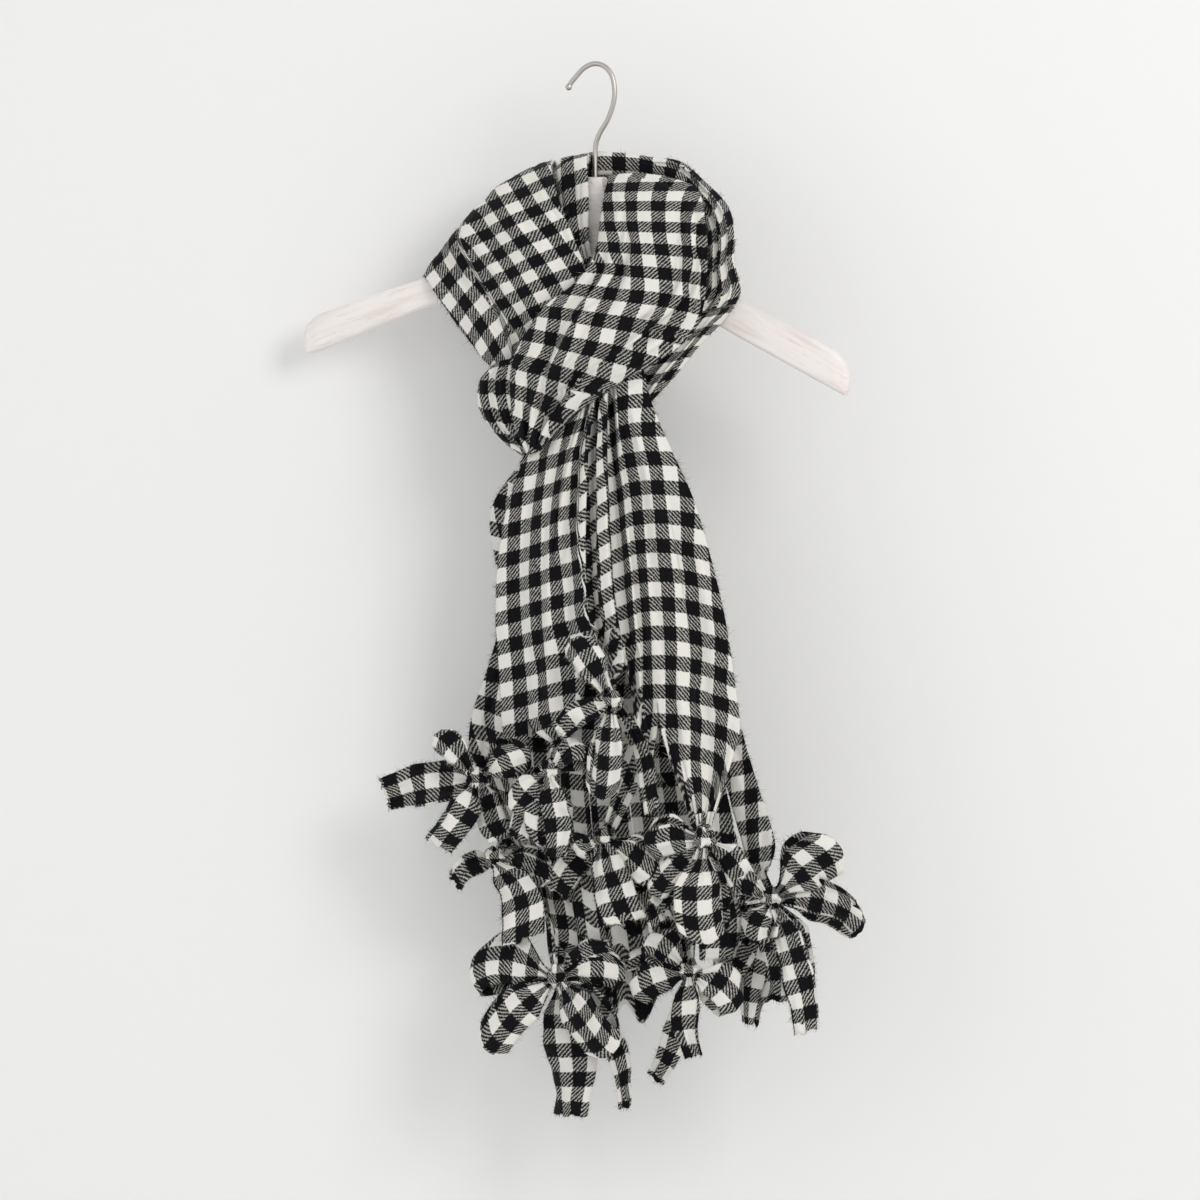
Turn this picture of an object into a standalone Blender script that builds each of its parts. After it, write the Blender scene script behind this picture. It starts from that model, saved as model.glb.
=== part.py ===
"""A gingham flannel ribbon stole, looped round the neck of a wooden clothes hanger.

The stole is one long cloth. It is folded in half, laid round the hanger's neck, and both of
its ends are drawn through the fold. Each end is cut into strips, and the strips are tied in
bows. Every stretch of the cloth that shows is a wall of its own.

Tables are in millimetres, as the object is seen from its front right: across to the right,
height upwards from the inside of the hook, and ahead of the hanger's middle plane.
"""
import math
from collections import namedtuple

import bmesh
import bpy
from mathutils import Vector

MM = 0.001
WALL = 1.8
SEAM = 0.35
VIEW_TURN = math.radians(17.5)

WIRE_RADIUS = 2.0
WIRE_TIP_RADIUS = 2.7
WIRE_SIDES = 8
HOOK_STEPS = 24
TIP_CAP_SHARE = 0.7
SHANK_BEND = 2.0
SOCKET_CLEARANCE = 0.35
SOCKET_DEPTH = 16.0
NECK_TOP = -86.0
SHANK_ACROSS = -1.5
CUTTER_ABOVE = 4.0
CUTTER_SIDES = 12
BAR_ROUNDING = 0.55
CORNER_POINTS = 3

KNOT_RADIUS = 8.0
KNOT_SQUASH = 0.85
KNOT_SEGMENTS = 12
KNOT_CLEARANCE = 0.42
KNOT_STEEPEST = 0.98
PINCHED_WIDTH = 8.0
LEAD_SPREAD = 0.03
LEAD_LAP = 0.04

# A panel swells between its edges by this power, and its hem's drops begin half way down.
SWELL_POWER = 2.4
HEM_START = 0.5
FOLD_FADE = 0.15

# A strip's cross-curve for its width, and the shares of its length at which it settles.
LOOP_CUP = 0.04
LOOP_TIP_ROUND = 0.30
LOOP_TIP_POWER = 4
LOOP_OPEN_SHARE = 0.62
TAIL_CUP = 0.03
TAIL_OPEN_SHARE = 0.5
TAPER_START = 0.5
SETTLE_SHARE = 0.5

# Where a strip leaves its knot, in front of the knot's middle or behind it.
FRONT_TAIL_LAYER = 6.6
FRONT_LAYER = 2.4
MIDDLE_LAYER = -0.8
REAR_LAYER = -2.4
REAR_TAIL_LAYER = -4.9

Station = namedtuple("Station", "across top bottom thickness")
Row = namedtuple("Row", "left left_height right right_height arch ahead_left ahead_middle ahead_right")
Fold = namedtuple("Fold", "start end top bottom width depth")
Bow = namedtuple("Bow", "name across height ahead panel place")
Loop = namedtuple("Loop", "bow name across height layer ahead width puff")
Tail = namedtuple("Tail", "bow name across height layer ahead width bend taper")

# The hanger's bar, from its left end to its right, in sections across it.
BAR = [
    Station(-230.5, -207.0, -217.0, 6.0),
    Station(-227.0, -197.5, -221.0, 11.0),
    Station(-219.0, -190.5, -219.0, 14.0),
    Station(-204.0, -185.0, -213.0, 15.0),
    Station(-136.0, -163.5, -187.0, 15.0),
    Station(-60.0, -140.0, -164.0, 16.0),
    Station(-26.0, -128.0, -153.0, 16.0),
    Station(-13.0, -110.0, -149.0, 16.0),
    Station(-8.0, NECK_TOP, -148.0, 16.0),
    Station(6.0, NECK_TOP, -149.0, 16.0),
    Station(11.0, -112.0, -151.0, 16.0),
    Station(26.0, -135.0, -160.0, 16.0),
    Station(60.0, -157.5, -182.0, 16.0),
    Station(111.0, -184.0, -212.0, 15.0),
    Station(169.0, -214.0, -245.0, 15.0),
    Station(184.0, -223.5, -253.5, 14.0),
    Station(191.5, -232.0, -257.5, 11.0),
    Station(194.0, -241.0, -253.0, 6.0),
]

# The hook's wire, from its tip to the top of its straight shank: across and height.
HOOK = [
    (-23.0, -18.0), (-21.0, -13.5), (-17.3, -8.6), (-9.6, -0.6), (-1.2, 2.3),
    (6.6, -0.6), (11.8, -8.0), (13.7, -19.0), (12.4, -30.0), (8.2, -41.5),
    (2.6, -51.0), (-0.6, -59.0), (-1.5, -67.0),
]

LEFT_DRAPE = [
    Row(-127.0, -183.0, -44.0, -170.0, 6.0, -13.0, -40.0, -36.0),
    Row(-133.0, -168.0, -42.0, -120.0, 8.0, -12.0, -40.0, -38.0),
    Row(-135.5, -160.6, -39.0, -76.0, 14.0, -2.0, -20.0, -24.0),
    Row(-133.5, -163.5, -36.0, -78.0, 16.0, 11.0, 18.0, 14.0),
    Row(-122.0, -181.0, -31.0, -100.0, 10.0, 17.0, 38.0, 40.0),
    Row(-104.0, -207.0, -20.0, -130.0, 7.0, 24.0, 47.0, 46.0),
    Row(-87.0, -229.0, -8.0, -160.0, 5.0, 27.0, 44.0, 36.0),
    Row(-74.0, -241.0, 0.0, -180.0, 3.0, 27.0, 34.0, 27.0),
]
LEFT_DRAPE_FOLDS = [
    Fold(0.02, 0.28, 0.35, 1.05, 0.045, 5.0),
    Fold(0.12, 0.40, 0.45, 1.05, 0.045, 6.0),
    Fold(0.34, 0.52, 0.30, 0.80, 0.050, 3.5),
    Fold(0.80, 0.84, 0.25, 0.90, 0.060, 3.0),
]

LEFT_INNER = [
    Row(-33.0, -90.0, -8.0, -84.0, 2.0, -12.0, -12.2, -12.0),
    Row(-32.0, -77.0, -8.0, -67.0, 2.0, 2.0, 2.0, 0.0),
    Row(-31.0, -86.0, -7.5, -78.0, 0.0, 13.0, 15.0, 12.5),
    Row(-29.0, -106.0, -6.5, -102.0, 0.0, 16.0, 19.0, 14.0),
    Row(-25.0, -130.0, -6.0, -128.0, 0.0, 17.0, 20.0, 14.0),
    Row(-15.0, -152.0, -4.0, -150.0, 0.0, 17.0, 19.0, 15.0),
    Row(-8.0, -170.0, 6.0, -168.0, 0.0, 15.0, 17.0, 15.0),
]
LEFT_INNER_FOLDS = [Fold(0.45, 0.60, 0.2, 1.1, 0.12, 3.0)]

NECK_BACK = [
    Row(-30.0, -100.0, 72.0, -118.0, 8.0, -14.0, -15.5, -14.0),
    Row(-31.0, -78.0, 80.0, -100.0, 13.0, -15.0, -17.5, -14.0),
    Row(-34.0, -73.0, 88.0, -96.0, 15.0, -23.0, -26.0, -16.0),
    Row(-40.0, -92.0, 99.0, -110.0, 11.0, -31.0, -38.0, -18.0),
    Row(-42.0, -125.0, 104.0, -138.0, 5.0, -33.0, -44.0, -19.0),
    Row(-42.0, -160.0, 105.0, -170.0, 0.0, -31.0, -41.0, -17.0),
    Row(-36.0, -194.0, 99.0, -198.0, -6.0, -24.0, -32.0, -14.0),
]
NECK_BACK_FOLDS = [
    Fold(0.25, 0.30, 0.30, 1.1, 0.05, -4.0),
    Fold(0.55, 0.50, 0.25, 1.1, 0.05, -5.0),
    Fold(0.80, 0.74, 0.30, 1.1, 0.05, -4.0),
]

LOOP_BAND = [
    Row(9.0, -85.0, 78.0, -96.0, 5.0, 13.0, 16.0, 12.0),
    Row(5.5, -100.0, 82.0, -112.0, 3.0, 20.0, 32.0, 24.0),
    Row(2.0, -122.0, 85.0, -138.0, 1.0, 26.0, 44.0, 34.0),
    Row(-2.0, -146.0, 85.0, -166.0, 0.0, 38.0, 52.0, 42.0),
    Row(-14.0, -167.0, 82.0, -190.0, 0.0, 48.0, 60.0, 46.0),
    Row(-38.0, -186.0, 74.0, -209.0, 0.0, 52.0, 66.0, 46.0),
    Row(-56.0, -210.0, 54.0, -227.0, 0.0, 52.0, 69.0, 46.0),
    Row(-66.0, -235.0, 24.0, -243.0, 0.0, 50.0, 68.0, 48.0),
    Row(-67.0, -262.0, -2.0, -260.0, 0.0, 49.0, 63.0, 50.0),
    Row(-62.0, -284.0, -30.0, -284.0, 0.0, 48.0, 56.0, 49.0),
    Row(-54.0, -301.0, -44.0, -300.0, 0.0, 47.0, 49.0, 47.0),
]
LOOP_BAND_FOLDS = [
    Fold(0.10, 0.62, 0.22, 1.0, 0.040, 4.5),
    Fold(0.90, 0.55, 0.05, 0.95, 0.035, -3.5),
    Fold(0.83, 0.50, 0.05, 0.9, 0.040, 3.5),
    Fold(0.22, 0.20, 0.50, 1.05, 0.050, 3.0),
]

LOOP_FOLD = [
    Row(-82.0, -233.0, -60.0, -228.0, 2.0, 38.0, 44.0, 45.2),
    Row(-91.0, -244.0, -60.0, -240.0, 0.0, 30.0, 44.0, 45.2),
    Row(-93.0, -260.0, -59.0, -258.0, 0.0, 24.0, 44.0, 45.2),
    Row(-87.0, -276.0, -56.0, -275.0, 0.0, 24.0, 42.0, 43.0),
    Row(-73.0, -291.0, -52.0, -290.0, 0.0, 28.0, 41.0, 42.0),
    Row(-58.0, -303.0, -46.0, -301.0, 0.0, 36.0, 41.0, 41.0),
]
LOOP_FOLD_FOLDS = [
    Fold(0.30, 0.36, 0.0, 0.95, 0.09, 4.0),
    Fold(0.62, 0.66, 0.0, 0.95, 0.09, 4.0),
]

RIGHT_SHOULDER = [
    Row(-4.5, -83.5, -5.0, -66.0, 0.0, -9.0, -6.0, -9.0),
    Row(18.0, -84.0, 16.0, -66.5, 0.0, -9.0, -5.0, -9.0),
    Row(42.0, -86.0, 41.0, -70.5, 0.0, -7.0, -2.0, -8.0),
    Row(61.0, -94.0, 66.0, -74.5, 0.0, 0.0, 5.0, -7.0),
    Row(71.0, -107.0, 85.0, -92.0, 0.0, 9.0, 12.0, -4.0),
    Row(77.0, -123.0, 100.5, -108.5, 0.0, 17.0, 17.0, 0.0),
    Row(80.0, -141.0, 107.0, -130.0, 0.0, 25.0, 23.0, 2.0),
    Row(80.0, -160.0, 106.0, -152.0, 0.0, 31.0, 28.0, 5.0),
    Row(76.0, -179.0, 111.0, -174.0, 0.0, 35.0, 31.0, 9.0),
    Row(67.0, -196.0, 107.0, -186.0, 0.0, 36.0, 32.0, 8.4),
]
RIGHT_SHOULDER_FOLDS = [
    Fold(0.42, 0.40, 0.34, 1.1, 0.055, 5.0),
    Fold(0.72, 0.70, 0.20, 1.1, 0.050, 4.0),
]

LOOP_RETURN = [
    Row(65.6, -198.2, 105.9, -188.2, 0.0, 34.5, 30.5, 8.4),
    Row(54.0, -212.0, 95.0, -202.0, 0.0, 33.0, 32.0, 10.0),
    Row(41.0, -228.0, 79.0, -219.0, 0.0, 32.0, 35.0, 18.0),
    Row(24.0, -246.0, 62.0, -240.0, 0.0, 28.0, 32.0, 22.0),
    Row(14.0, -266.0, 41.0, -263.0, 0.0, 22.0, 26.0, 22.0),
]
LOOP_RETURN_FOLDS = [
    Fold(0.40, 0.36, -0.1, 1.0, 0.09, 4.0),
    Fold(0.70, 0.66, -0.1, 1.0, 0.09, -3.0),
]

FRONT_TAIL = [
    Row(-24.0, -228.0, 34.0, -226.0, 0.0, 39.7, 45.7, 39.7),
    Row(-36.0, -262.0, 41.0, -259.0, 0.0, 37.7, 45.7, 37.7),
    Row(-55.0, -301.0, 57.0, -298.0, 0.0, 32.0, 44.0, 34.0),
    Row(-69.0, -340.0, 74.0, -336.0, 0.0, 30.0, 44.0, 33.0),
    Row(-77.0, -385.0, 87.0, -380.0, 0.0, 29.0, 44.0, 32.0),
    Row(-79.0, -430.0, 98.0, -426.0, 0.0, 28.0, 44.0, 31.0),
    Row(-76.0, -475.0, 105.0, -470.0, 0.0, 27.0, 44.0, 31.0),
    Row(-73.0, -518.0, 110.0, -516.0, 0.0, 27.0, 44.0, 32.0),
    Row(-70.0, -531.0, 108.0, -565.0, 0.0, 28.0, 46.0, 34.0),
]
# How far the hem is drawn up or let down, in even steps from its left to its right.
FRONT_HEM = [(0.0,), (6.0,), (20.0,), (52.0,), (66.0,), (18.0,), (-18.0,), (-22.0,), (0.0,)]
FRONT_TAIL_FOLDS = [
    Fold(0.12, 0.10, 0.10, 1.05, 0.035, 5.0),
    Fold(0.40, 0.27, 0.00, 0.80, 0.030, 7.0),
    Fold(0.50, 0.42, 0.00, 0.95, 0.024, 13.0),
    Fold(0.57, 0.47, 0.00, 0.80, 0.018, -5.0),
    Fold(0.63, 0.535, 0.00, 1.05, 0.024, 11.0),
    Fold(0.72, 0.60, 0.05, 0.95, 0.026, 5.0),
    Fold(0.30, 0.19, 0.15, 1.05, 0.040, -4.0),
    Fold(0.80, 0.76, 0.10, 1.05, 0.040, -4.0),
    Fold(0.92, 0.86, 0.35, 1.05, 0.035, 5.0),
]

BACK_TAIL = [
    Row(-40.0, -262.0, 30.0, -262.0, 0.0, 17.2, 21.2, 17.2),
    Row(-58.0, -304.0, 46.0, -300.0, 0.0, 10.0, 17.0, 10.0),
    Row(-83.0, -345.0, 66.0, -340.0, 0.0, 4.0, 14.0, 6.0),
    Row(-78.0, -395.0, 84.0, -390.0, 0.0, 2.0, 12.0, 3.0),
    Row(-79.0, -445.0, 98.0, -440.0, 0.0, 0.0, 12.0, 2.0),
    Row(-99.0, -510.0, 112.0, -515.0, 0.0, 0.0, 12.0, 2.0),
    Row(-98.0, -550.0, 125.0, -560.0, 0.0, 0.0, 14.0, 3.0),
    Row(-88.0, -580.0, 137.0, -600.0, 0.0, 2.0, 16.0, 4.0),
    Row(-80.0, -592.0, 136.0, -622.0, 0.0, 4.0, 18.0, 6.0),
]
BACK_HEM = [(0.0,), (-26.0,), (-90.0,), (-97.0,), (-94.0,), (-78.0,), (-52.0,), (-24.0,), (0.0,)]
BACK_TAIL_FOLDS = [
    Fold(0.10, 0.14, 0.10, 1.05, 0.040, -4.0),
    Fold(0.28, 0.30, 0.10, 1.05, 0.040, 6.0),
    Fold(0.46, 0.45, 0.05, 1.05, 0.045, -6.0),
    Fold(0.60, 0.60, 0.05, 1.05, 0.040, 6.0),
    Fold(0.76, 0.75, 0.10, 1.05, 0.040, -5.0),
    Fold(0.90, 0.88, 0.20, 1.05, 0.035, 5.0),
]

# Each bow's knot, and the hem and the place along it that its strips come from.
BOWS = [
    Bow("bow_far_left", -92.0, -553.0, 38.0, "front", 0.03),
    Bow("bow_left", -36.0, -546.0, 52.0, "front", 0.25),
    Bow("bow_centre", 12.0, -492.0, 62.0, "front", 0.45),
    Bow("bow_right", 82.0, -598.0, 52.0, "front", 0.85),
    Bow("bow_low_far_left", -79.0, -615.0, 22.0, "back", 0.05),
    Bow("bow_low_left", -31.0, -706.0, 34.0, "back", 0.22),
    Bow("bow_low_right", 72.0, -700.0, 34.0, "back", 0.68),
    Bow("bow_low_far_right", 135.0, -643.0, 30.0, "back", 0.96),
    Bow("bow_low_centre", 5.0, -598.0, 38.0, "front", 0.5875),
]

LOOPS = [
    Loop("bow_far_left", "loop_right", -52.0, -530.0, FRONT_LAYER, 46.0, 24.0, 5.0),
    Loop("bow_far_left", "loop_left", -125.0, -518.0, FRONT_LAYER, 42.0, 20.0, 5.0),
    Loop("bow_left", "loop_right", -6.0, -530.0, FRONT_LAYER, 57.0, 20.0, 4.0),
    Loop("bow_left", "loop_left", -66.0, -578.0, FRONT_LAYER, 54.0, 24.0, 4.0),
    Loop("bow_centre", "loop_left", -19.0, -444.0, FRONT_LAYER, 66.0, 24.0, 6.0),
    Loop("bow_centre", "loop_down", 3.0, -568.0, FRONT_LAYER, 76.0, 29.0, 5.0),
    Loop("bow_right", "loop_left", 36.0, -600.0, REAR_LAYER, 54.0, 25.0, 4.0),
    Loop("bow_right", "loop_down", 83.0, -678.0, FRONT_LAYER, 66.0, 35.0, 6.0),
    Loop("bow_low_far_left", "loop_right", -34.0, -628.0, FRONT_LAYER, 30.0, 20.0, 4.0),
    Loop("bow_low_left", "loop_left", -99.0, -700.0, REAR_LAYER, 27.0, 42.0, 5.0),
    Loop("bow_low_left", "loop_down_left", -88.0, -762.0, FRONT_LAYER, 42.0, 35.0, 5.0),
    Loop("bow_low_left", "loop_down_right", 13.0, -764.0, FRONT_LAYER, 44.0, 36.0, 5.0),
    Loop("bow_low_right", "loop_left", 26.0, -716.0, FRONT_LAYER, 34.0, 28.0, 5.0),
    Loop("bow_low_right", "loop_right", 110.0, -726.0, FRONT_LAYER, 38.0, 30.0, 5.0),
    Loop("bow_low_far_right", "loop_up", 184.0, -600.0, FRONT_LAYER, 38.0, 38.0, 6.0),
    Loop("bow_low_far_right", "loop_right", 205.0, -662.0, REAR_LAYER, 26.0, 29.0, 5.0),
]

TAILS = [
    Tail("bow_far_left", "tail_left", -166.0, -566.0, REAR_TAIL_LAYER, 30.0, 34.0, -3.0, 0.9),
    Tail("bow_far_left", "tail_down", -126.0, -606.0, FRONT_TAIL_LAYER, 48.0, 27.0, 4.0, 0.9),
    Tail("bow_left", "tail_down", -30.0, -612.0, FRONT_TAIL_LAYER, 64.0, 22.0, 3.0, 0.9),
    Tail("bow_centre", "tail_right", 42.0, -578.0, REAR_TAIL_LAYER, 58.0, 15.0, 8.0, 0.8),
    Tail("bow_centre", "tail_left", -30.0, -516.0, FRONT_TAIL_LAYER, 72.0, 20.0, -4.0, 0.9),
    Tail("bow_right", "tail_left", 46.0, -650.0, REAR_TAIL_LAYER, 40.0, 24.0, -4.0, 0.9),
    Tail("bow_right", "tail_right", 114.0, -638.0, REAR_TAIL_LAYER, 42.0, 22.0, 4.0, 0.9),
    Tail("bow_low_far_left", "tail_down", -58.0, -678.0, FRONT_TAIL_LAYER, 38.0, 36.0, 2.0, 1.0),
    Tail("bow_low_far_left", "tail_left", -112.0, -634.0, REAR_TAIL_LAYER, 20.0, 17.0, -6.0, 0.8),
    Tail("bow_low_left", "tail_down", -23.0, -814.0, REAR_TAIL_LAYER, 20.0, 40.0, 3.0, 1.0),
    Tail("bow_low_left", "tail_right", 21.0, -806.0, MIDDLE_LAYER, 29.0, 19.0, 16.0, 0.8),
    Tail("bow_low_right", "tail_left", 44.0, -784.0, REAR_TAIL_LAYER, 24.0, 22.0, 5.0, 0.9),
    Tail("bow_low_right", "tail_right", 76.0, -764.0, FRONT_TAIL_LAYER, 50.0, 20.0, -4.0, 0.9),
    Tail("bow_low_far_right", "tail_left", 118.0, -741.0, REAR_TAIL_LAYER, 16.0, 30.0, -6.0, 0.4),
    Tail("bow_low_far_right", "tail_right", 159.0, -745.0, FRONT_TAIL_LAYER, 44.0, 26.0, 6.0, 0.8),
]


def clear_scene():
    """Take everything out of the file that the script starts in."""
    for thing in list(bpy.data.objects):
        bpy.data.objects.remove(thing, do_unlink=True)


def seen(across, ahead, height):
    """A place in the hanger's frame, in metres, from where it is seen."""
    along = (across + ahead * math.sin(VIEW_TURN)) / math.cos(VIEW_TURN)
    return Vector((along, -ahead, height)) * MM


def material(name, colour, roughness, metallic=0.0):
    """A plain Principled material."""
    made = bpy.data.materials.new(name)
    made.use_nodes = True
    shader = made.node_tree.nodes["Principled BSDF"]
    shader.inputs["Base Color"].default_value = (*colour, 1.0)
    shader.inputs["Roughness"].default_value = roughness
    shader.inputs["Metallic"].default_value = metallic
    return made


def read_table(rows, t):
    """The values of a table at t from 0 to 1, on a smooth curve through its rows."""
    last = len(rows) - 1
    place = min(max(t, 0.0), 1.0) * last
    start = min(int(place), last - 1)
    f = place - start
    before = rows[max(start - 1, 0)]
    here = rows[start]
    there = rows[start + 1]
    after = rows[min(start + 2, last)]
    values = []
    for a, b, c, d in zip(before, here, there, after):
        bend = 2 * a - 5 * b + 4 * c - d
        twist = 3 * b - a - 3 * c + d
        values.append(0.5 * (2 * b + (c - a) * f + bend * f * f + twist * f ** 3))
    return values


def ease(value):
    """A smooth step from 0 to 1."""
    value = min(max(value, 0.0), 1.0)
    return value * value * (3.0 - 2.0 * value)


def panel_point(rows, folds, hem, u, v):
    """A point of a hanging panel, u from its left edge and v from its first row."""
    row = Row(*read_table(rows, v))
    fullness = 1.0 - abs(2.0 * u - 1.0) ** SWELL_POWER
    across = row.left + (row.right - row.left) * u
    height = row.left_height + (row.right_height - row.left_height) * u + row.arch * fullness
    if hem:
        height += read_table(hem, u)[0] * ease((v - HEM_START) / (1.0 - HEM_START))
    side = row.ahead_left + (row.ahead_right - row.ahead_left) * u
    ahead = side + (row.ahead_middle - (row.ahead_left + row.ahead_right) / 2.0) * fullness
    for fold in folds:
        centre = fold.start + (fold.end - fold.start) * v
        reach = ease((v - fold.top) / FOLD_FADE) * ease((fold.bottom - v) / FOLD_FADE)
        ahead -= fold.depth * reach * math.exp(-((u - centre) / fold.width) ** 2)
    return seen(across, ahead, height)


def object_from(name, mesh_data, look, smooth_angle=50.0):
    """An object of one closed body, from a bmesh."""
    bmesh.ops.recalc_face_normals(mesh_data, faces=mesh_data.faces)
    mesh = bpy.data.meshes.new(name)
    mesh_data.to_mesh(mesh)
    mesh_data.free()
    mesh.shade_smooth()
    mesh.set_sharp_from_angle(angle=math.radians(smooth_angle))
    mesh.materials.append(look)
    thing = bpy.data.objects.new(name, mesh)
    bpy.context.scene.collection.objects.link(thing)
    return thing


def surface_normal(grid, i, j):
    """The normal of a grid of points at one of them."""
    down = grid[min(i + 1, len(grid) - 1)][j] - grid[max(i - 1, 0)][j]
    over = grid[i][min(j + 1, len(grid[i]) - 1)] - grid[i][max(j - 1, 0)]
    return over.cross(down).normalized()


def cloth_wall(name, grid, look, thickness=WALL):
    """Cloth of one thickness on a grid of points: closed, with a face along each edge."""
    mesh_data = bmesh.new()
    rows = len(grid)
    columns = len(grid[0])
    outer = [[mesh_data.verts.new(point) for point in line] for line in grid]
    inner = []
    for i in range(rows):
        line = []
        for j in range(columns):
            shift = surface_normal(grid, i, j) * (thickness * MM)
            line.append(mesh_data.verts.new(grid[i][j] + shift))
        inner.append(line)
    for i in range(rows - 1):
        for j in range(columns - 1):
            mesh_data.faces.new((outer[i][j], outer[i][j + 1], outer[i + 1][j + 1], outer[i + 1][j]))
            mesh_data.faces.new((inner[i][j], inner[i + 1][j], inner[i + 1][j + 1], inner[i][j + 1]))
    rim_outer = edge_loop(outer)
    rim_inner = edge_loop(inner)
    for k in range(len(rim_outer)):
        after = (k + 1) % len(rim_outer)
        mesh_data.faces.new((rim_outer[k], rim_inner[k], rim_inner[after], rim_outer[after]))
    return object_from(name, mesh_data, look)


def edge_loop(grid):
    """The points along the border of a grid, in order."""
    loop = list(grid[0])
    loop += [line[-1] for line in grid[1:]]
    loop += list(reversed(grid[-1][:-1]))
    loop += [line[0] for line in reversed(grid[1:-1])]
    return loop


def panel(name, rows, folds, hem, columns, lines, look):
    """A stretch of the stole's full width, from its rows and folds; gives back its grid."""
    grid = []
    for i in range(lines + 1):
        v = i / lines
        grid.append([panel_point(rows, folds, hem, j / columns, v) for j in range(columns + 1)])
    cloth_wall(name, grid, look)
    return grid


def swept_tube(name, points, radii, look, sides=WIRE_SIDES):
    """A round wire along points that lie in one upright plane."""
    mesh_data = bmesh.new()
    rings = []
    for k, point in enumerate(points):
        tangent = (points[min(k + 1, len(points) - 1)] - points[max(k - 1, 0)]).normalized()
        level = Vector((0.0, 1.0, 0.0))
        upright = tangent.cross(level).normalized()
        ring = []
        for s in range(sides):
            angle = 2.0 * math.pi * s / sides
            offset = level * math.cos(angle) + upright * math.sin(angle)
            ring.append(mesh_data.verts.new(point + offset * (radii[k] * MM)))
        rings.append(ring)
    for first, second in zip(rings, rings[1:]):
        for s in range(sides):
            after = (s + 1) % sides
            mesh_data.faces.new((first[s], first[after], second[after], second[s]))
    mesh_data.faces.new(rings[0])
    mesh_data.faces.new(list(reversed(rings[-1])))
    return object_from(name, mesh_data, look)


def make_hook(look):
    """The nickel hook, with a ball at its tip and a straight shank in the wood."""
    points = []
    for k in range(HOOK_STEPS + 1):
        across, height = read_table(HOOK, k / HOOK_STEPS)
        points.append(seen(across, 0.0, height))
    shank_end = NECK_TOP - SOCKET_DEPTH + SEAM
    points.append(seen(SHANK_ACROSS, 0.0, NECK_TOP + SHANK_BEND))
    points.append(seen(SHANK_ACROSS, 0.0, shank_end))
    radii = [WIRE_RADIUS] * len(points)
    radii[0] = WIRE_TIP_RADIUS * TIP_CAP_SHARE
    radii[1] = WIRE_TIP_RADIUS
    radii[2] = WIRE_TIP_RADIUS
    return swept_tube("hanger_hook", points, radii, look)


def make_bar(look):
    """The wooden bar with its neck, drilled for the hook's shank."""
    mesh_data = bmesh.new()
    corners = [(1, 1, 0.0), (-1, 1, 90.0), (-1, -1, 180.0), (1, -1, 270.0)]
    rings = []
    for station in BAR:
        half_thick = station.thickness / 2.0
        half_high = (station.top - station.bottom) / 2.0
        middle = (station.top + station.bottom) / 2.0
        radius = min(half_thick, half_high) * BAR_ROUNDING
        ring = []
        for side, up, turn in corners:
            for k in range(CORNER_POINTS):
                angle = math.radians(turn + 90.0 * k / (CORNER_POINTS - 1))
                ahead = side * (half_thick - radius) + radius * math.cos(angle)
                height = middle + up * (half_high - radius) + radius * math.sin(angle)
                on_axis = seen(station.across, 0.0, height)
                ring.append(mesh_data.verts.new(on_axis - Vector((0.0, ahead * MM, 0.0))))
        rings.append(ring)
    count = len(rings[0])
    for first, second in zip(rings, rings[1:]):
        for s in range(count):
            after = (s + 1) % count
            mesh_data.faces.new((first[s], first[after], second[after], second[s]))
    mesh_data.faces.new(rings[0])
    mesh_data.faces.new(list(reversed(rings[-1])))
    bar = object_from("hanger_bar", mesh_data, look, 35.0)
    drill_socket(bar)
    return bar


def drill_socket(bar):
    """Drill the blind hole that holds the shank."""
    top = seen(SHANK_ACROSS, 0.0, NECK_TOP + CUTTER_ABOVE)
    depth = (SOCKET_DEPTH + CUTTER_ABOVE) * MM
    mesh_data = bmesh.new()
    radius = (WIRE_RADIUS + SOCKET_CLEARANCE) * MM
    bmesh.ops.create_cone(
        mesh_data, cap_ends=True, segments=CUTTER_SIDES, radius1=radius, radius2=radius, depth=depth
    )
    mesh = bpy.data.meshes.new("socket_cutter")
    mesh_data.to_mesh(mesh)
    mesh_data.free()
    cutter = bpy.data.objects.new("socket_cutter", mesh)
    cutter.location = top - Vector((0.0, 0.0, depth / 2.0))
    cutter.hide_render = True
    cutter.display_type = "WIRE"
    bpy.context.scene.collection.objects.link(cutter)
    cut = bar.modifiers.new("socket", "BOOLEAN")
    cut.operation = "DIFFERENCE"
    cut.object = cutter


def strip_side(heading):
    """The way across a strip that runs in a heading, both in an upright plane."""
    return Vector((-heading[1], heading[0]))


def strip_grid(path, widths, side, columns, cup, round_tip):
    """Points of a strip along a path of (along, ahead, height), square to side."""
    grid = []
    for k, (along, ahead, height) in enumerate(path):
        line = []
        for j in range(columns + 1):
            w = j / columns * 2.0 - 1.0
            reach = w * widths[k] / 2.0
            back = round_tip[k] * w * w
            x = along + side[0] * reach - side[1] * back
            z = height + side[1] * reach + side[0] * back
            y = -ahead + cup * widths[k] * w * w
            line.append(Vector((x, y, z)) * MM)
        grid.append(line)
    return grid


def strip_frame(bow, strip):
    """A strip's start, length, heading and the way across it, in the hanger's frame."""
    centre = seen(bow.across, bow.ahead, bow.height) / MM
    tip = seen(strip.across, strip.ahead, strip.height) / MM
    out = Vector((tip.x - centre.x, tip.z - centre.z))
    heading = out.normalized()
    return centre, out.length, heading, strip_side(heading)


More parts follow.
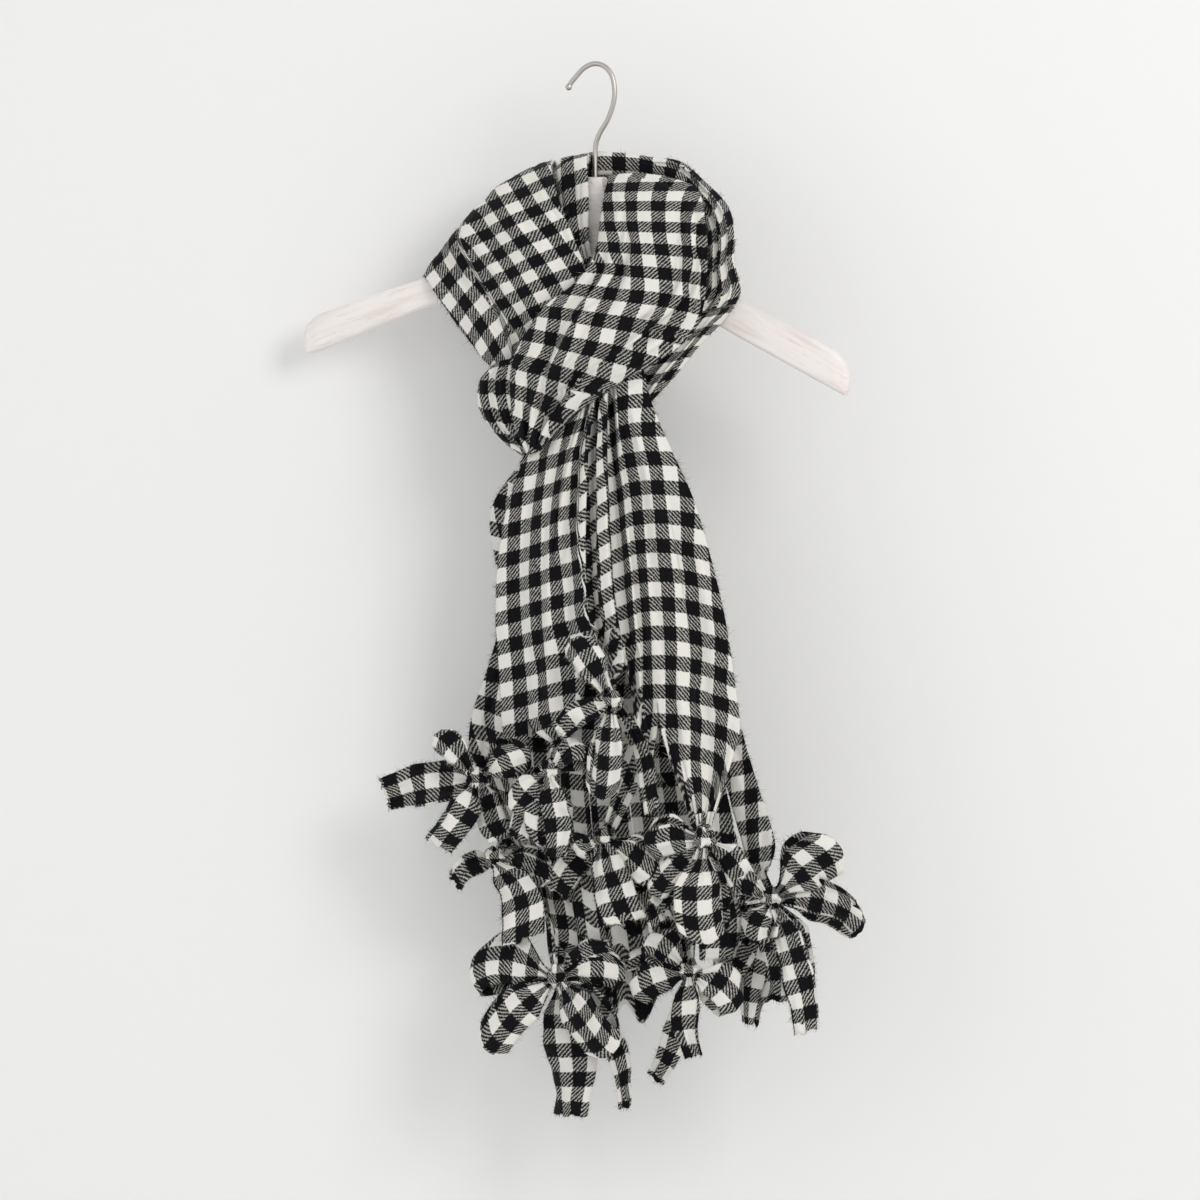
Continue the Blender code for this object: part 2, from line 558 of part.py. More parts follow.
def knot_edge(nearest):
    """How far a strip starts from its knot's middle, at a depth from that middle."""
    level = min(nearest / (KNOT_RADIUS * KNOT_SQUASH), KNOT_STEEPEST)
    return KNOT_RADIUS * math.sqrt(1.0 - level * level) + KNOT_CLEARANCE


def open_width(full, along):
    """A strip's width: gathered at its knot, and open further out."""
    return PINCHED_WIDTH + max(full - PINCHED_WIDTH, 0.0) * ease(along)


def loop_strip(bow, loop, look, columns=3, steps=10):
    """A bow's loop: the strip goes out in front and comes back behind, pinched at the knot."""
    centre, length, heading, side = strip_frame(bow, loop)
    start = knot_edge(max(abs(loop.layer) - WALL - SEAM, 0.0))
    path = []
    widths = []
    round_tip = []
    for k in range(steps + 1):
        t = k / steps
        swell = math.sin(math.pi * t)
        out_share = (1.0 - math.cos(2.0 * math.pi * t)) / 2.0
        reach = start + (length - start) * out_share
        depth = loop.puff * math.sin(2.0 * math.pi * t) * swell
        apart = (WALL + SEAM / 2.0) * math.cos(math.pi * t)
        level = bow.ahead + loop.layer
        base = level + (loop.ahead - level) * ease(out_share / SETTLE_SHARE)
        x = centre.x + heading[0] * reach
        z = centre.z + heading[1] * reach
        path.append((x, base + depth + apart, z))
        widths.append(open_width(loop.width, out_share / LOOP_OPEN_SHARE))
        round_tip.append(LOOP_TIP_ROUND * loop.width * swell ** LOOP_TIP_POWER)
    grid = strip_grid(path, widths, side, columns, LOOP_CUP, round_tip)
    return cloth_wall(f"{bow.name}_{loop.name}", grid, look)


def tail_strip(bow, tail, look, columns=2, steps=7):
    """A strip's free end, from the knot to its tip."""
    centre, length, heading, side = strip_frame(bow, tail)
    near_face = tail.layer - WALL if tail.layer > 0.0 else -tail.layer
    start = knot_edge(near_face)
    path = []
    widths = []
    for k in range(steps + 1):
        t = k / steps
        reach = start + (length - start) * t
        bend = tail.bend * math.sin(math.pi * t)
        level = bow.ahead + tail.layer
        base = level + (tail.ahead - level) * ease(t / SETTLE_SHARE)
        x = centre.x + heading[0] * reach + side[0] * bend
        z = centre.z + heading[1] * reach + side[1] * bend
        path.append((x, base, z))
        narrow = 1.0 - (1.0 - tail.taper) * ease((t - TAPER_START) / (1.0 - TAPER_START))
        widths.append(open_width(tail.width, t / TAIL_OPEN_SHARE) * narrow)
    grid = strip_grid(path, widths, side, columns, TAIL_CUP, [0.0] * len(path))
    return cloth_wall(f"{bow.name}_{tail.name}", grid, look)


def knot(bow, look):
    """The tight knot in the middle of a bow."""
    mesh_data = bmesh.new()
    bmesh.ops.create_uvsphere(
        mesh_data, u_segments=KNOT_SEGMENTS, v_segments=KNOT_SEGMENTS // 2, radius=KNOT_RADIUS * MM
    )
    for vertex in mesh_data.verts:
        vertex.co = Vector((vertex.co.x, vertex.co.z * KNOT_SQUASH, vertex.co.y))
    centre = seen(bow.across, bow.ahead, bow.height)
    bmesh.ops.translate(mesh_data, verts=mesh_data.verts, vec=centre)
    return object_from(f"{bow.name}_knot", mesh_data, look, 80.0)


def grid_point(grid, u, v):
    """A point on the flat faces of a grid, and the way out of its front there."""
    i = min(int(v * (len(grid) - 1)), len(grid) - 2)
    j = min(int(u * (len(grid[0]) - 1)), len(grid[0]) - 2)
    down_share = v * (len(grid) - 1) - i
    over_share = u * (len(grid[0]) - 1) - j
    upper = grid[i][j].lerp(grid[i][j + 1], over_share)
    lower = grid[i + 1][j].lerp(grid[i + 1][j + 1], over_share)
    over = grid[i][j + 1] - grid[i][j] + grid[i + 1][j + 1] - grid[i + 1][j]
    return upper.lerp(lower, down_share), (lower - upper).cross(over).normalized()


def lead_strip(bow, panel_grid, look, columns=2, steps=3):
    """The gathered strip that lies on the hem and runs from it to a knot."""
    lying = []
    for v in (1.0 - LEAD_LAP, 1.0):
        line = []
        for j in range(columns + 1):
            u = bow.place + LEAD_SPREAD * (j / columns - 0.5)
            point, outward = grid_point(panel_grid, min(max(u, 0.0), 1.0), v)
            line.append(point + outward * ((WALL + 2.0 * SEAM) * MM))
        lying.append(line)
    middle = lying[-1][columns // 2]
    centre = seen(bow.across, bow.ahead, bow.height)
    away = Vector((middle.x - centre.x, 0.0, middle.z - centre.z)).normalized()
    reach = knot_edge(-REAR_TAIL_LAYER) * MM
    end = centre + away * reach + Vector((0.0, -REAR_TAIL_LAYER * MM, 0.0))
    across = Vector((-away.z, 0.0, away.x))
    if across.x < 0.0:
        across.negate()
    last = [end + across * (PINCHED_WIDTH * MM * (j / columns - 0.5)) for j in range(columns + 1)]
    grid = list(lying)
    for k in range(1, steps + 1):
        t = k / steps
        grid.append([a.lerp(b, t) for a, b in zip(lying[-1], last)])
    return cloth_wall(f"{bow.name}_lead", grid, look)


def main():
    """Build the hanger, the stole's stretches and its bows."""
    clear_scene()
    wood = material("white_washed_wood", (0.86, 0.79, 0.75), 0.55)
    nickel = material("brushed_nickel", (0.55, 0.52, 0.48), 0.32, 1.0)
    ivory = material("gingham_ivory", (0.72, 0.70, 0.66), 0.95)
    grey = material("gingham_grey", (0.24, 0.24, 0.25), 0.95)
    make_bar(wood)
    make_hook(nickel)
    panel("neck_back", NECK_BACK, NECK_BACK_FOLDS, None, 16, 8, grey)
    panel("left_drape", LEFT_DRAPE, LEFT_DRAPE_FOLDS, None, 16, 13, ivory)
    panel("left_inner", LEFT_INNER, LEFT_INNER_FOLDS, None, 5, 8, grey)
    panel("loop_band", LOOP_BAND, LOOP_BAND_FOLDS, None, 18, 14, ivory)
    panel("loop_fold", LOOP_FOLD, LOOP_FOLD_FOLDS, None, 10, 7, grey)
    panel("right_shoulder", RIGHT_SHOULDER, RIGHT_SHOULDER_FOLDS, None, 10, 18, grey)
    panel("loop_return", LOOP_RETURN, LOOP_RETURN_FOLDS, None, 9, 6, ivory)
    front_grid = panel("front_tail", FRONT_TAIL, FRONT_TAIL_FOLDS, FRONT_HEM, 40, 13, ivory)
    back_grid = panel("back_tail", BACK_TAIL, BACK_TAIL_FOLDS, BACK_HEM, 22, 12, grey)
    for bow in BOWS:
        knot(bow, ivory)
        lead_strip(bow, front_grid if bow.panel == "front" else back_grid, grey)
        for loop in LOOPS:
            if loop.bow == bow.name:
                loop_strip(bow, loop, ivory)
        for tail in TAILS:
            if tail.bow == bow.name:
                tail_strip(bow, tail, grey)


main()
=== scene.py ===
import math
from collections import namedtuple

import bpy
import numpy as np
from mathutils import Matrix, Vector, noise


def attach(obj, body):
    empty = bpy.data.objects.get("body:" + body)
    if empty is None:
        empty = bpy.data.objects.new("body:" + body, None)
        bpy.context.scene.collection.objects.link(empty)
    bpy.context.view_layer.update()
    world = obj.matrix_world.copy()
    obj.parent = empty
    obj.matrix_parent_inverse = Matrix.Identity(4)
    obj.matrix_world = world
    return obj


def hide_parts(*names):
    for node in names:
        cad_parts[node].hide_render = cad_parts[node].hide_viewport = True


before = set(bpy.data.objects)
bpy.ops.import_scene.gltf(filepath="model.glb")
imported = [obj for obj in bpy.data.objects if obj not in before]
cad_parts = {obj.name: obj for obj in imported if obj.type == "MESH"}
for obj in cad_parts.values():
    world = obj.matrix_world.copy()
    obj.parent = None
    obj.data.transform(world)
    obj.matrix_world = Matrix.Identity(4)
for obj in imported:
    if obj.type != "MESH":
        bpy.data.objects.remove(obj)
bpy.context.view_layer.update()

bl_info = {
    "name": "Ribbon stole on a hanger",
    "version": (1, 0, 0),
    "blender": (4, 5, 0),
    "location": "View3D > Sidebar > Stole",
    "description": "Builds a looped gingham stole with bows at both hems, and its hanger",
    "category": "Add Mesh",
}

MM = 0.001
VIEW_TURN = math.radians(17.5)
TAU = 2.0 * math.pi

# The solids' own measures, which the cloth here follows.
NECK_TOP = -86.0
SHANK_ACROSS = -1.5
SOCKET_DEPTH = 16.0
WIRE_RADIUS = 2.0
WIRE_TIP_RADIUS = 2.7
KNOT_RADIUS = 8.0
KNOT_SQUASH = 0.85
KNOT_CLEARANCE = 0.42
KNOT_STEEPEST = 0.98
PINCHED_WIDTH = 8.0
SWELL_POWER = 2.4
HEM_START = 0.5
FOLD_FADE = 0.15
LOOP_CUP = 0.04
LOOP_TIP_ROUND = 0.30
LOOP_TIP_POWER = 4
LOOP_OPEN_SHARE = 0.45
LAYER_SPLAY = 6.0
SAG_SHARE = 0.10
TAIL_CUP = 0.03
TAIL_OPEN_SHARE = 0.3
TAPER_START = 0.5
SETTLE_SHARE = 0.5
LAYER_GAP = 2.15
FRONT_TAIL_LAYER = 6.6
FRONT_LAYER = 2.4
MIDDLE_LAYER = -0.8
REAR_LAYER = -2.4
REAR_TAIL_LAYER = -4.9

Station = namedtuple("Station", "across top bottom thickness")
Row = namedtuple("Row", "left left_height right right_height arch ahead_left ahead_middle ahead_right")
Fold = namedtuple("Fold", "start end top bottom width depth")
Crease = namedtuple("Crease", "u0 v0 u1 v1 width depth bow")
Panel = namedtuple("Panel", "name rows folds hem strips columns lines creases anchor weave shift rests")
Weave = namedtuple("Weave", "x z across along line")
HemStrip = namedtuple("HemStrip", "left right centre gather start drop ahead tilt")
Bow = namedtuple("Bow", "name across height ahead panel place loops tails")
Loop = namedtuple("Loop", "name across height layer ahead width puff")
Tail = namedtuple("Tail", "name across height layer ahead width bend taper")
Light = namedtuple("Light", "name right towards up size share colour")

# How finely the cloth, the wire and the bar are made, and small shapes that the solids lack.
LOOP_LINES = 44
LOOP_COLUMNS = 16
TAIL_LINES = 34
TAIL_COLUMNS = 14
LEAD_COLUMNS = 20
LEAD_LAP_LINES = 5
LEAD_FREE_LINES = 14
LEAD_LIFT = 1.3
LEAD_INSET = 0.06
LEAD_LAP = 0.03
LEAD_BELLY = 1.5
ROOT_UNDER_KNOT = 1.6
KNOT_RINGS = 26
KNOT_SIDES = 40
KNOT_TILT = 0.7
KNOT_FOLD = 0.13
KNOT_SLANT = 0.10
KNOT_FULLNESS = 1.04
KNOT_CHECKS = 1.6
HOOK_STEPS = 120
WIRE_SIDES = 24
TIP_STEPS = 9
TIP_REACH = 1.7
SHANK_STEPS = 8
BAR_STEPS = 8
BAR_CORNER_POINTS = 7
BAR_ROUNDING = 0.55
BAR_SHARP_ANGLE = math.radians(50.0)
SHANK_TOP = -70.0
SHANK_CLEARANCE = 0.35
GRAIN_UNIT = 10.0
WOOD_STRETCH = (0.16, 1.0, 1.0)
BRUSH_STRETCH = (0.12, 3.0, 1.0)

# The flannel's measures: sizes in millimetres, and shares of its colours and its relief; the twill's
# light share also holds painted shade.
FUZZ_SIZE = 1.1
FUZZ_SHIFT = 2.8
STRIPE_SOFTNESS = 0.28
TWILL_PITCH = 3.5
# The share of light yarn in the twill's light lines is kept low: painted shade cast by the raised dark
# yarns beside them.
TWILL_LIGHT_WITH_PAINTED_SHADE = 0.56
TWILL_DARK = 0.02
HAIR_SIZE = 0.8
CRINKLE_SIZE = 5.0
CHECK_EDGE = 0.25
CHECK_STEPS = (3.7, 5.3)
TWILL_RELIEF = 0.16
HAIR_RELIEF = 0.5
CRINKLE_RELIEF = 1.5
BUMP_STRENGTH = 0.8
BUMP_DEPTH = 0.45
NAP_RADIUS = 0.11
NAP_SPREAD = 0.75
FRAY_SPREAD = 0.55
NAP_EVENNESS = 3.0
FRAY_EVENNESS = 2.0
PANEL_NAP_AREA = 16.0
STRIP_NAP_AREA = 9.0
FRAY_SPACING = 0.6
LONGEST_FIBRE = 7.0
NAP_LIGHTENS = 0.05
WEAR_DARKENS = 0.16

# The photograph's frame: its middle, its width and the wall behind the hanger.
VIEW_ACROSS = 2.3
VIEW_HEIGHT = -414.5
VIEW_WIDTH = 932.4
SENSOR_WIDTH = 36.0
WALL_BEHIND = 105.0
FLOOR_HEIGHT = -1.25
STAGE_SIZE = 9.0

# The soft lights: where each stands from the stole, its size in metres, and its share of the
# key light's power.
LIGHTS = [
    Light("key_light", 1.4, 2.2, 1.2, 1.1, 1.0, (1.0, 0.985, 0.96)),
    Light("fill_light", -1.8, 1.9, 0.5, 1.8, 0.22, (0.97, 0.985, 1.0)),
    Light("back_light", -0.8, -2.2, 1.2, 1.6, 0.5, (1.0, 1.0, 1.0)),
]

# The hanger's bar, from its left end to its right, in sections across it.
BAR = [
    Station(-230.5, -207.0, -217.0, 6.0),
    Station(-227.0, -197.5, -221.0, 11.0),
    Station(-219.0, -190.5, -219.0, 14.0),
    Station(-204.0, -185.0, -213.0, 15.0),
    Station(-136.0, -163.5, -187.0, 15.0),
    Station(-60.0, -140.0, -164.0, 16.0),
    Station(-26.0, -128.0, -153.0, 16.0),
    Station(-13.0, -110.0, -149.0, 16.0),
    Station(-8.0, NECK_TOP, -148.0, 16.0),
    Station(6.0, NECK_TOP, -149.0, 16.0),
    Station(11.0, -112.0, -151.0, 16.0),
    Station(26.0, -135.0, -160.0, 16.0),
    Station(60.0, -157.5, -182.0, 16.0),
    Station(111.0, -184.0, -212.0, 15.0),
    Station(169.0, -214.0, -245.0, 15.0),
    Station(184.0, -223.5, -253.5, 14.0),
    Station(191.5, -232.0, -257.5, 11.0),
    Station(194.0, -241.0, -253.0, 6.0),
]

# The hook's wire, from its tip to the top of its straight shank: across and height.
HOOK = [
    (-23.0, -18.0), (-21.0, -13.5), (-17.3, -8.6), (-9.6, -0.6), (-1.2, 2.3),
    (6.6, -0.6), (11.8, -8.0), (13.7, -19.0), (12.4, -30.0), (8.2, -41.5),
    (2.6, -51.0), (-0.6, -59.0), (-1.5, -67.0),
]

LEFT_DRAPE = [
    Row(-127.0, -183.0, -44.0, -170.0, 6.0, -13.0, -40.0, -36.0),
    Row(-133.0, -168.0, -42.0, -120.0, 8.0, -12.0, -40.0, -38.0),
    Row(-135.5, -160.6, -39.0, -76.0, 14.0, -2.0, -20.0, -24.0),
    Row(-133.5, -163.5, -36.0, -78.0, 16.0, 11.0, 18.0, 14.0),
    Row(-122.0, -181.0, -31.0, -100.0, 10.0, 17.0, 38.0, 40.0),
    Row(-104.0, -207.0, -20.0, -130.0, 7.0, 24.0, 47.0, 46.0),
    Row(-87.0, -229.0, -8.0, -160.0, 5.0, 27.0, 44.0, 36.0),
    Row(-74.0, -241.0, 0.0, -180.0, 3.0, 27.0, 34.0, 27.0),
]
LEFT_DRAPE_FOLDS = [
    Fold(0.02, 0.28, 0.35, 1.05, 0.045, 5.0),
    Fold(0.12, 0.40, 0.45, 1.05, 0.045, 6.0),
    Fold(0.34, 0.52, 0.30, 0.80, 0.050, 3.5),
    Fold(0.80, 0.84, 0.25, 0.90, 0.060, 3.0),
]

LEFT_INNER = [
    Row(-33.0, -90.0, -8.0, -84.0, 2.0, -12.0, -12.2, -12.0),
    Row(-32.0, -77.0, -8.0, -67.0, 2.0, 2.0, 2.0, 0.0),
    Row(-31.0, -86.0, -7.5, -78.0, 0.0, 13.0, 15.0, 12.5),
    Row(-29.0, -106.0, -6.5, -102.0, 0.0, 16.0, 19.0, 14.0),
    Row(-25.0, -130.0, -6.0, -128.0, 0.0, 17.0, 20.0, 14.0),
    Row(-15.0, -152.0, -4.0, -150.0, 0.0, 17.0, 19.0, 15.0),
    Row(-8.0, -170.0, 6.0, -168.0, 0.0, 15.0, 17.0, 15.0),
]
LEFT_INNER_FOLDS = [Fold(0.45, 0.60, 0.2, 1.1, 0.12, 3.0)]

NECK_BACK = [
    Row(-30.0, -100.0, 72.0, -118.0, 8.0, -14.0, -15.5, -14.0),
    Row(-31.0, -78.0, 80.0, -100.0, 13.0, -15.0, -17.5, -14.0),
    Row(-34.0, -73.0, 88.0, -96.0, 15.0, -23.0, -26.0, -16.0),
    Row(-40.0, -92.0, 99.0, -110.0, 11.0, -31.0, -38.0, -18.0),
    Row(-42.0, -125.0, 104.0, -138.0, 5.0, -33.0, -44.0, -19.0),
    Row(-42.0, -160.0, 105.0, -170.0, 0.0, -31.0, -41.0, -17.0),
    Row(-36.0, -194.0, 99.0, -198.0, -6.0, -24.0, -32.0, -14.0),
]
NECK_BACK_FOLDS = [
    Fold(0.25, 0.30, 0.30, 1.1, 0.05, -4.0),
    Fold(0.55, 0.50, 0.25, 1.1, 0.05, -5.0),
    Fold(0.80, 0.74, 0.30, 1.1, 0.05, -4.0),
]

LOOP_BAND = [
    Row(9.0, -85.0, 78.0, -96.0, 5.0, 13.0, 16.0, 12.0),
    Row(5.5, -100.0, 82.0, -112.0, 3.0, 20.0, 32.0, 24.0),
    Row(2.0, -122.0, 85.0, -138.0, 1.0, 26.0, 44.0, 34.0),
    Row(-2.0, -146.0, 85.0, -166.0, 0.0, 38.0, 52.0, 42.0),
    Row(-14.0, -167.0, 82.0, -190.0, 0.0, 48.0, 60.0, 46.0),
    Row(-38.0, -186.0, 74.0, -209.0, 0.0, 52.0, 66.0, 46.0),
    Row(-56.0, -210.0, 54.0, -227.0, 0.0, 52.0, 69.0, 46.0),
    Row(-66.0, -235.0, 24.0, -243.0, 0.0, 50.0, 68.0, 48.0),
    Row(-67.0, -262.0, -2.0, -260.0, 0.0, 49.0, 63.0, 50.0),
    Row(-62.0, -284.0, -30.0, -284.0, 0.0, 48.0, 56.0, 49.0),
    Row(-54.0, -301.0, -44.0, -300.0, 0.0, 47.0, 49.0, 47.0),
]
LOOP_BAND_FOLDS = [
    Fold(0.10, 0.62, 0.22, 1.0, 0.040, 4.5),
    Fold(0.90, 0.55, 0.05, 0.95, 0.035, -3.5),
    Fold(0.83, 0.50, 0.05, 0.9, 0.040, 3.5),
    Fold(0.22, 0.20, 0.50, 1.05, 0.050, 3.0),
]

LOOP_FOLD = [
    Row(-82.0, -233.0, -60.0, -228.0, 2.0, 38.0, 44.0, 45.2),
    Row(-91.0, -244.0, -60.0, -240.0, 0.0, 30.0, 44.0, 45.2),
    Row(-93.0, -260.0, -59.0, -258.0, 0.0, 24.0, 44.0, 45.2),
    Row(-87.0, -276.0, -56.0, -275.0, 0.0, 24.0, 42.0, 43.0),
    Row(-73.0, -291.0, -52.0, -290.0, 0.0, 28.0, 41.0, 42.0),
    Row(-58.0, -303.0, -46.0, -301.0, 0.0, 36.0, 41.0, 41.0),
]
LOOP_FOLD_FOLDS = [
    Fold(0.30, 0.36, 0.0, 0.95, 0.09, 4.0),
    Fold(0.62, 0.66, 0.0, 0.95, 0.09, 4.0),
]

RIGHT_SHOULDER = [
    Row(-4.5, -83.5, -5.0, -66.0, 0.0, -9.0, -6.0, -9.0),
    Row(18.0, -84.0, 16.0, -66.5, 0.0, -9.0, -5.0, -9.0),
    Row(42.0, -86.0, 41.0, -70.5, 0.0, -7.0, -2.0, -8.0),
    Row(61.0, -94.0, 66.0, -74.5, 0.0, 0.0, 5.0, -7.0),
    Row(71.0, -107.0, 85.0, -92.0, 0.0, 9.0, 12.0, -4.0),
    Row(77.0, -123.0, 100.5, -108.5, 0.0, 17.0, 17.0, 0.0),
    Row(80.0, -141.0, 107.0, -130.0, 0.0, 25.0, 23.0, 2.0),
    Row(80.0, -160.0, 106.0, -152.0, 0.0, 31.0, 28.0, 5.0),
    Row(76.0, -179.0, 111.0, -174.0, 0.0, 35.0, 31.0, 9.0),
    Row(67.0, -196.0, 107.0, -186.0, 0.0, 36.0, 32.0, 8.4),
]
RIGHT_SHOULDER_FOLDS = [
    Fold(0.42, 0.40, 0.34, 1.1, 0.055, 5.0),
    Fold(0.72, 0.70, 0.20, 1.1, 0.050, 4.0),
]

LOOP_RETURN = [
    Row(65.6, -198.2, 105.9, -188.2, 0.0, 34.5, 30.5, 8.4),
    Row(54.0, -212.0, 95.0, -202.0, 0.0, 33.0, 32.0, 10.0),
    Row(41.0, -228.0, 79.0, -219.0, 0.0, 32.0, 35.0, 18.0),
    Row(24.0, -246.0, 62.0, -240.0, 0.0, 28.0, 32.0, 22.0),
    Row(14.0, -266.0, 41.0, -263.0, 0.0, 22.0, 26.0, 22.0),
]
LOOP_RETURN_FOLDS = [
    Fold(0.40, 0.36, -0.1, 1.0, 0.09, 4.0),
    Fold(0.70, 0.66, -0.1, 1.0, 0.09, -3.0),
]

FRONT_TAIL = [
    Row(-24.0, -228.0, 34.0, -226.0, 0.0, 39.7, 45.7, 39.7),
    Row(-36.0, -262.0, 41.0, -259.0, 0.0, 37.7, 45.7, 37.7),
    Row(-55.0, -301.0, 57.0, -298.0, 0.0, 32.0, 44.0, 34.0),
    Row(-69.0, -340.0, 74.0, -336.0, 0.0, 30.0, 44.0, 33.0),
    Row(-77.0, -385.0, 87.0, -380.0, 0.0, 29.0, 44.0, 32.0),
    Row(-79.0, -430.0, 98.0, -426.0, 0.0, 28.0, 44.0, 31.0),
    Row(-76.0, -475.0, 105.0, -470.0, 0.0, 27.0, 44.0, 31.0),
    Row(-73.0, -518.0, 110.0, -516.0, 0.0, 27.0, 44.0, 32.0),
    Row(-70.0, -531.0, 108.0, -565.0, 0.0, 28.0, 46.0, 34.0),
]
# How far the hem is drawn up or let down, in even steps from its left to its right.
FRONT_HEM = [(0.0,), (6.0,), (20.0,), (52.0,), (66.0,), (18.0,), (-18.0,), (-22.0,), (0.0,)]
FRONT_TAIL_FOLDS = [
    Fold(0.12, 0.10, 0.10, 1.05, 0.035, 5.0),
    Fold(0.40, 0.27, 0.00, 0.80, 0.030, 7.0),
    Fold(0.50, 0.42, 0.00, 0.95, 0.024, 13.0),
    Fold(0.57, 0.47, 0.00, 0.80, 0.018, -5.0),
    Fold(0.63, 0.535, 0.00, 1.05, 0.024, 11.0),
    Fold(0.72, 0.60, 0.05, 0.95, 0.026, 5.0),
    Fold(0.30, 0.19, 0.15, 1.05, 0.040, -4.0),
    Fold(0.80, 0.76, 0.10, 1.05, 0.040, -4.0),
    Fold(0.92, 0.86, 0.35, 1.05, 0.035, 5.0),
]

BACK_TAIL = [
    Row(-40.0, -262.0, 30.0, -262.0, 0.0, 17.2, 21.2, 17.2),
    Row(-58.0, -304.0, 46.0, -300.0, 0.0, 10.0, 17.0, 10.0),
    Row(-83.0, -345.0, 66.0, -340.0, 0.0, 4.0, 14.0, 6.0),
    Row(-78.0, -395.0, 84.0, -390.0, 0.0, 2.0, 12.0, 3.0),
    Row(-79.0, -445.0, 98.0, -440.0, 0.0, 0.0, 12.0, 2.0),
    Row(-99.0, -510.0, 112.0, -515.0, 0.0, 0.0, 12.0, 2.0),
    Row(-98.0, -550.0, 125.0, -560.0, 0.0, 0.0, 14.0, 3.0),
    Row(-88.0, -580.0, 137.0, -600.0, 0.0, 2.0, 16.0, 4.0),
    Row(-80.0, -592.0, 136.0, -622.0, 0.0, 4.0, 18.0, 6.0),
]
BACK_HEM = [(0.0,), (-26.0,), (-90.0,), (-97.0,), (-94.0,), (-78.0,), (-52.0,), (-24.0,), (0.0,)]
BACK_TAIL_FOLDS = [
    Fold(0.10, 0.14, 0.10, 1.05, 0.040, -4.0),
    Fold(0.28, 0.30, 0.10, 1.05, 0.040, 6.0),
    Fold(0.46, 0.45, 0.05, 1.05, 0.045, -6.0),
    Fold(0.60, 0.60, 0.05, 1.05, 0.040, 6.0),
    Fold(0.76, 0.75, 0.10, 1.05, 0.040, -5.0),
    Fold(0.90, 0.88, 0.20, 1.05, 0.035, 5.0),
]

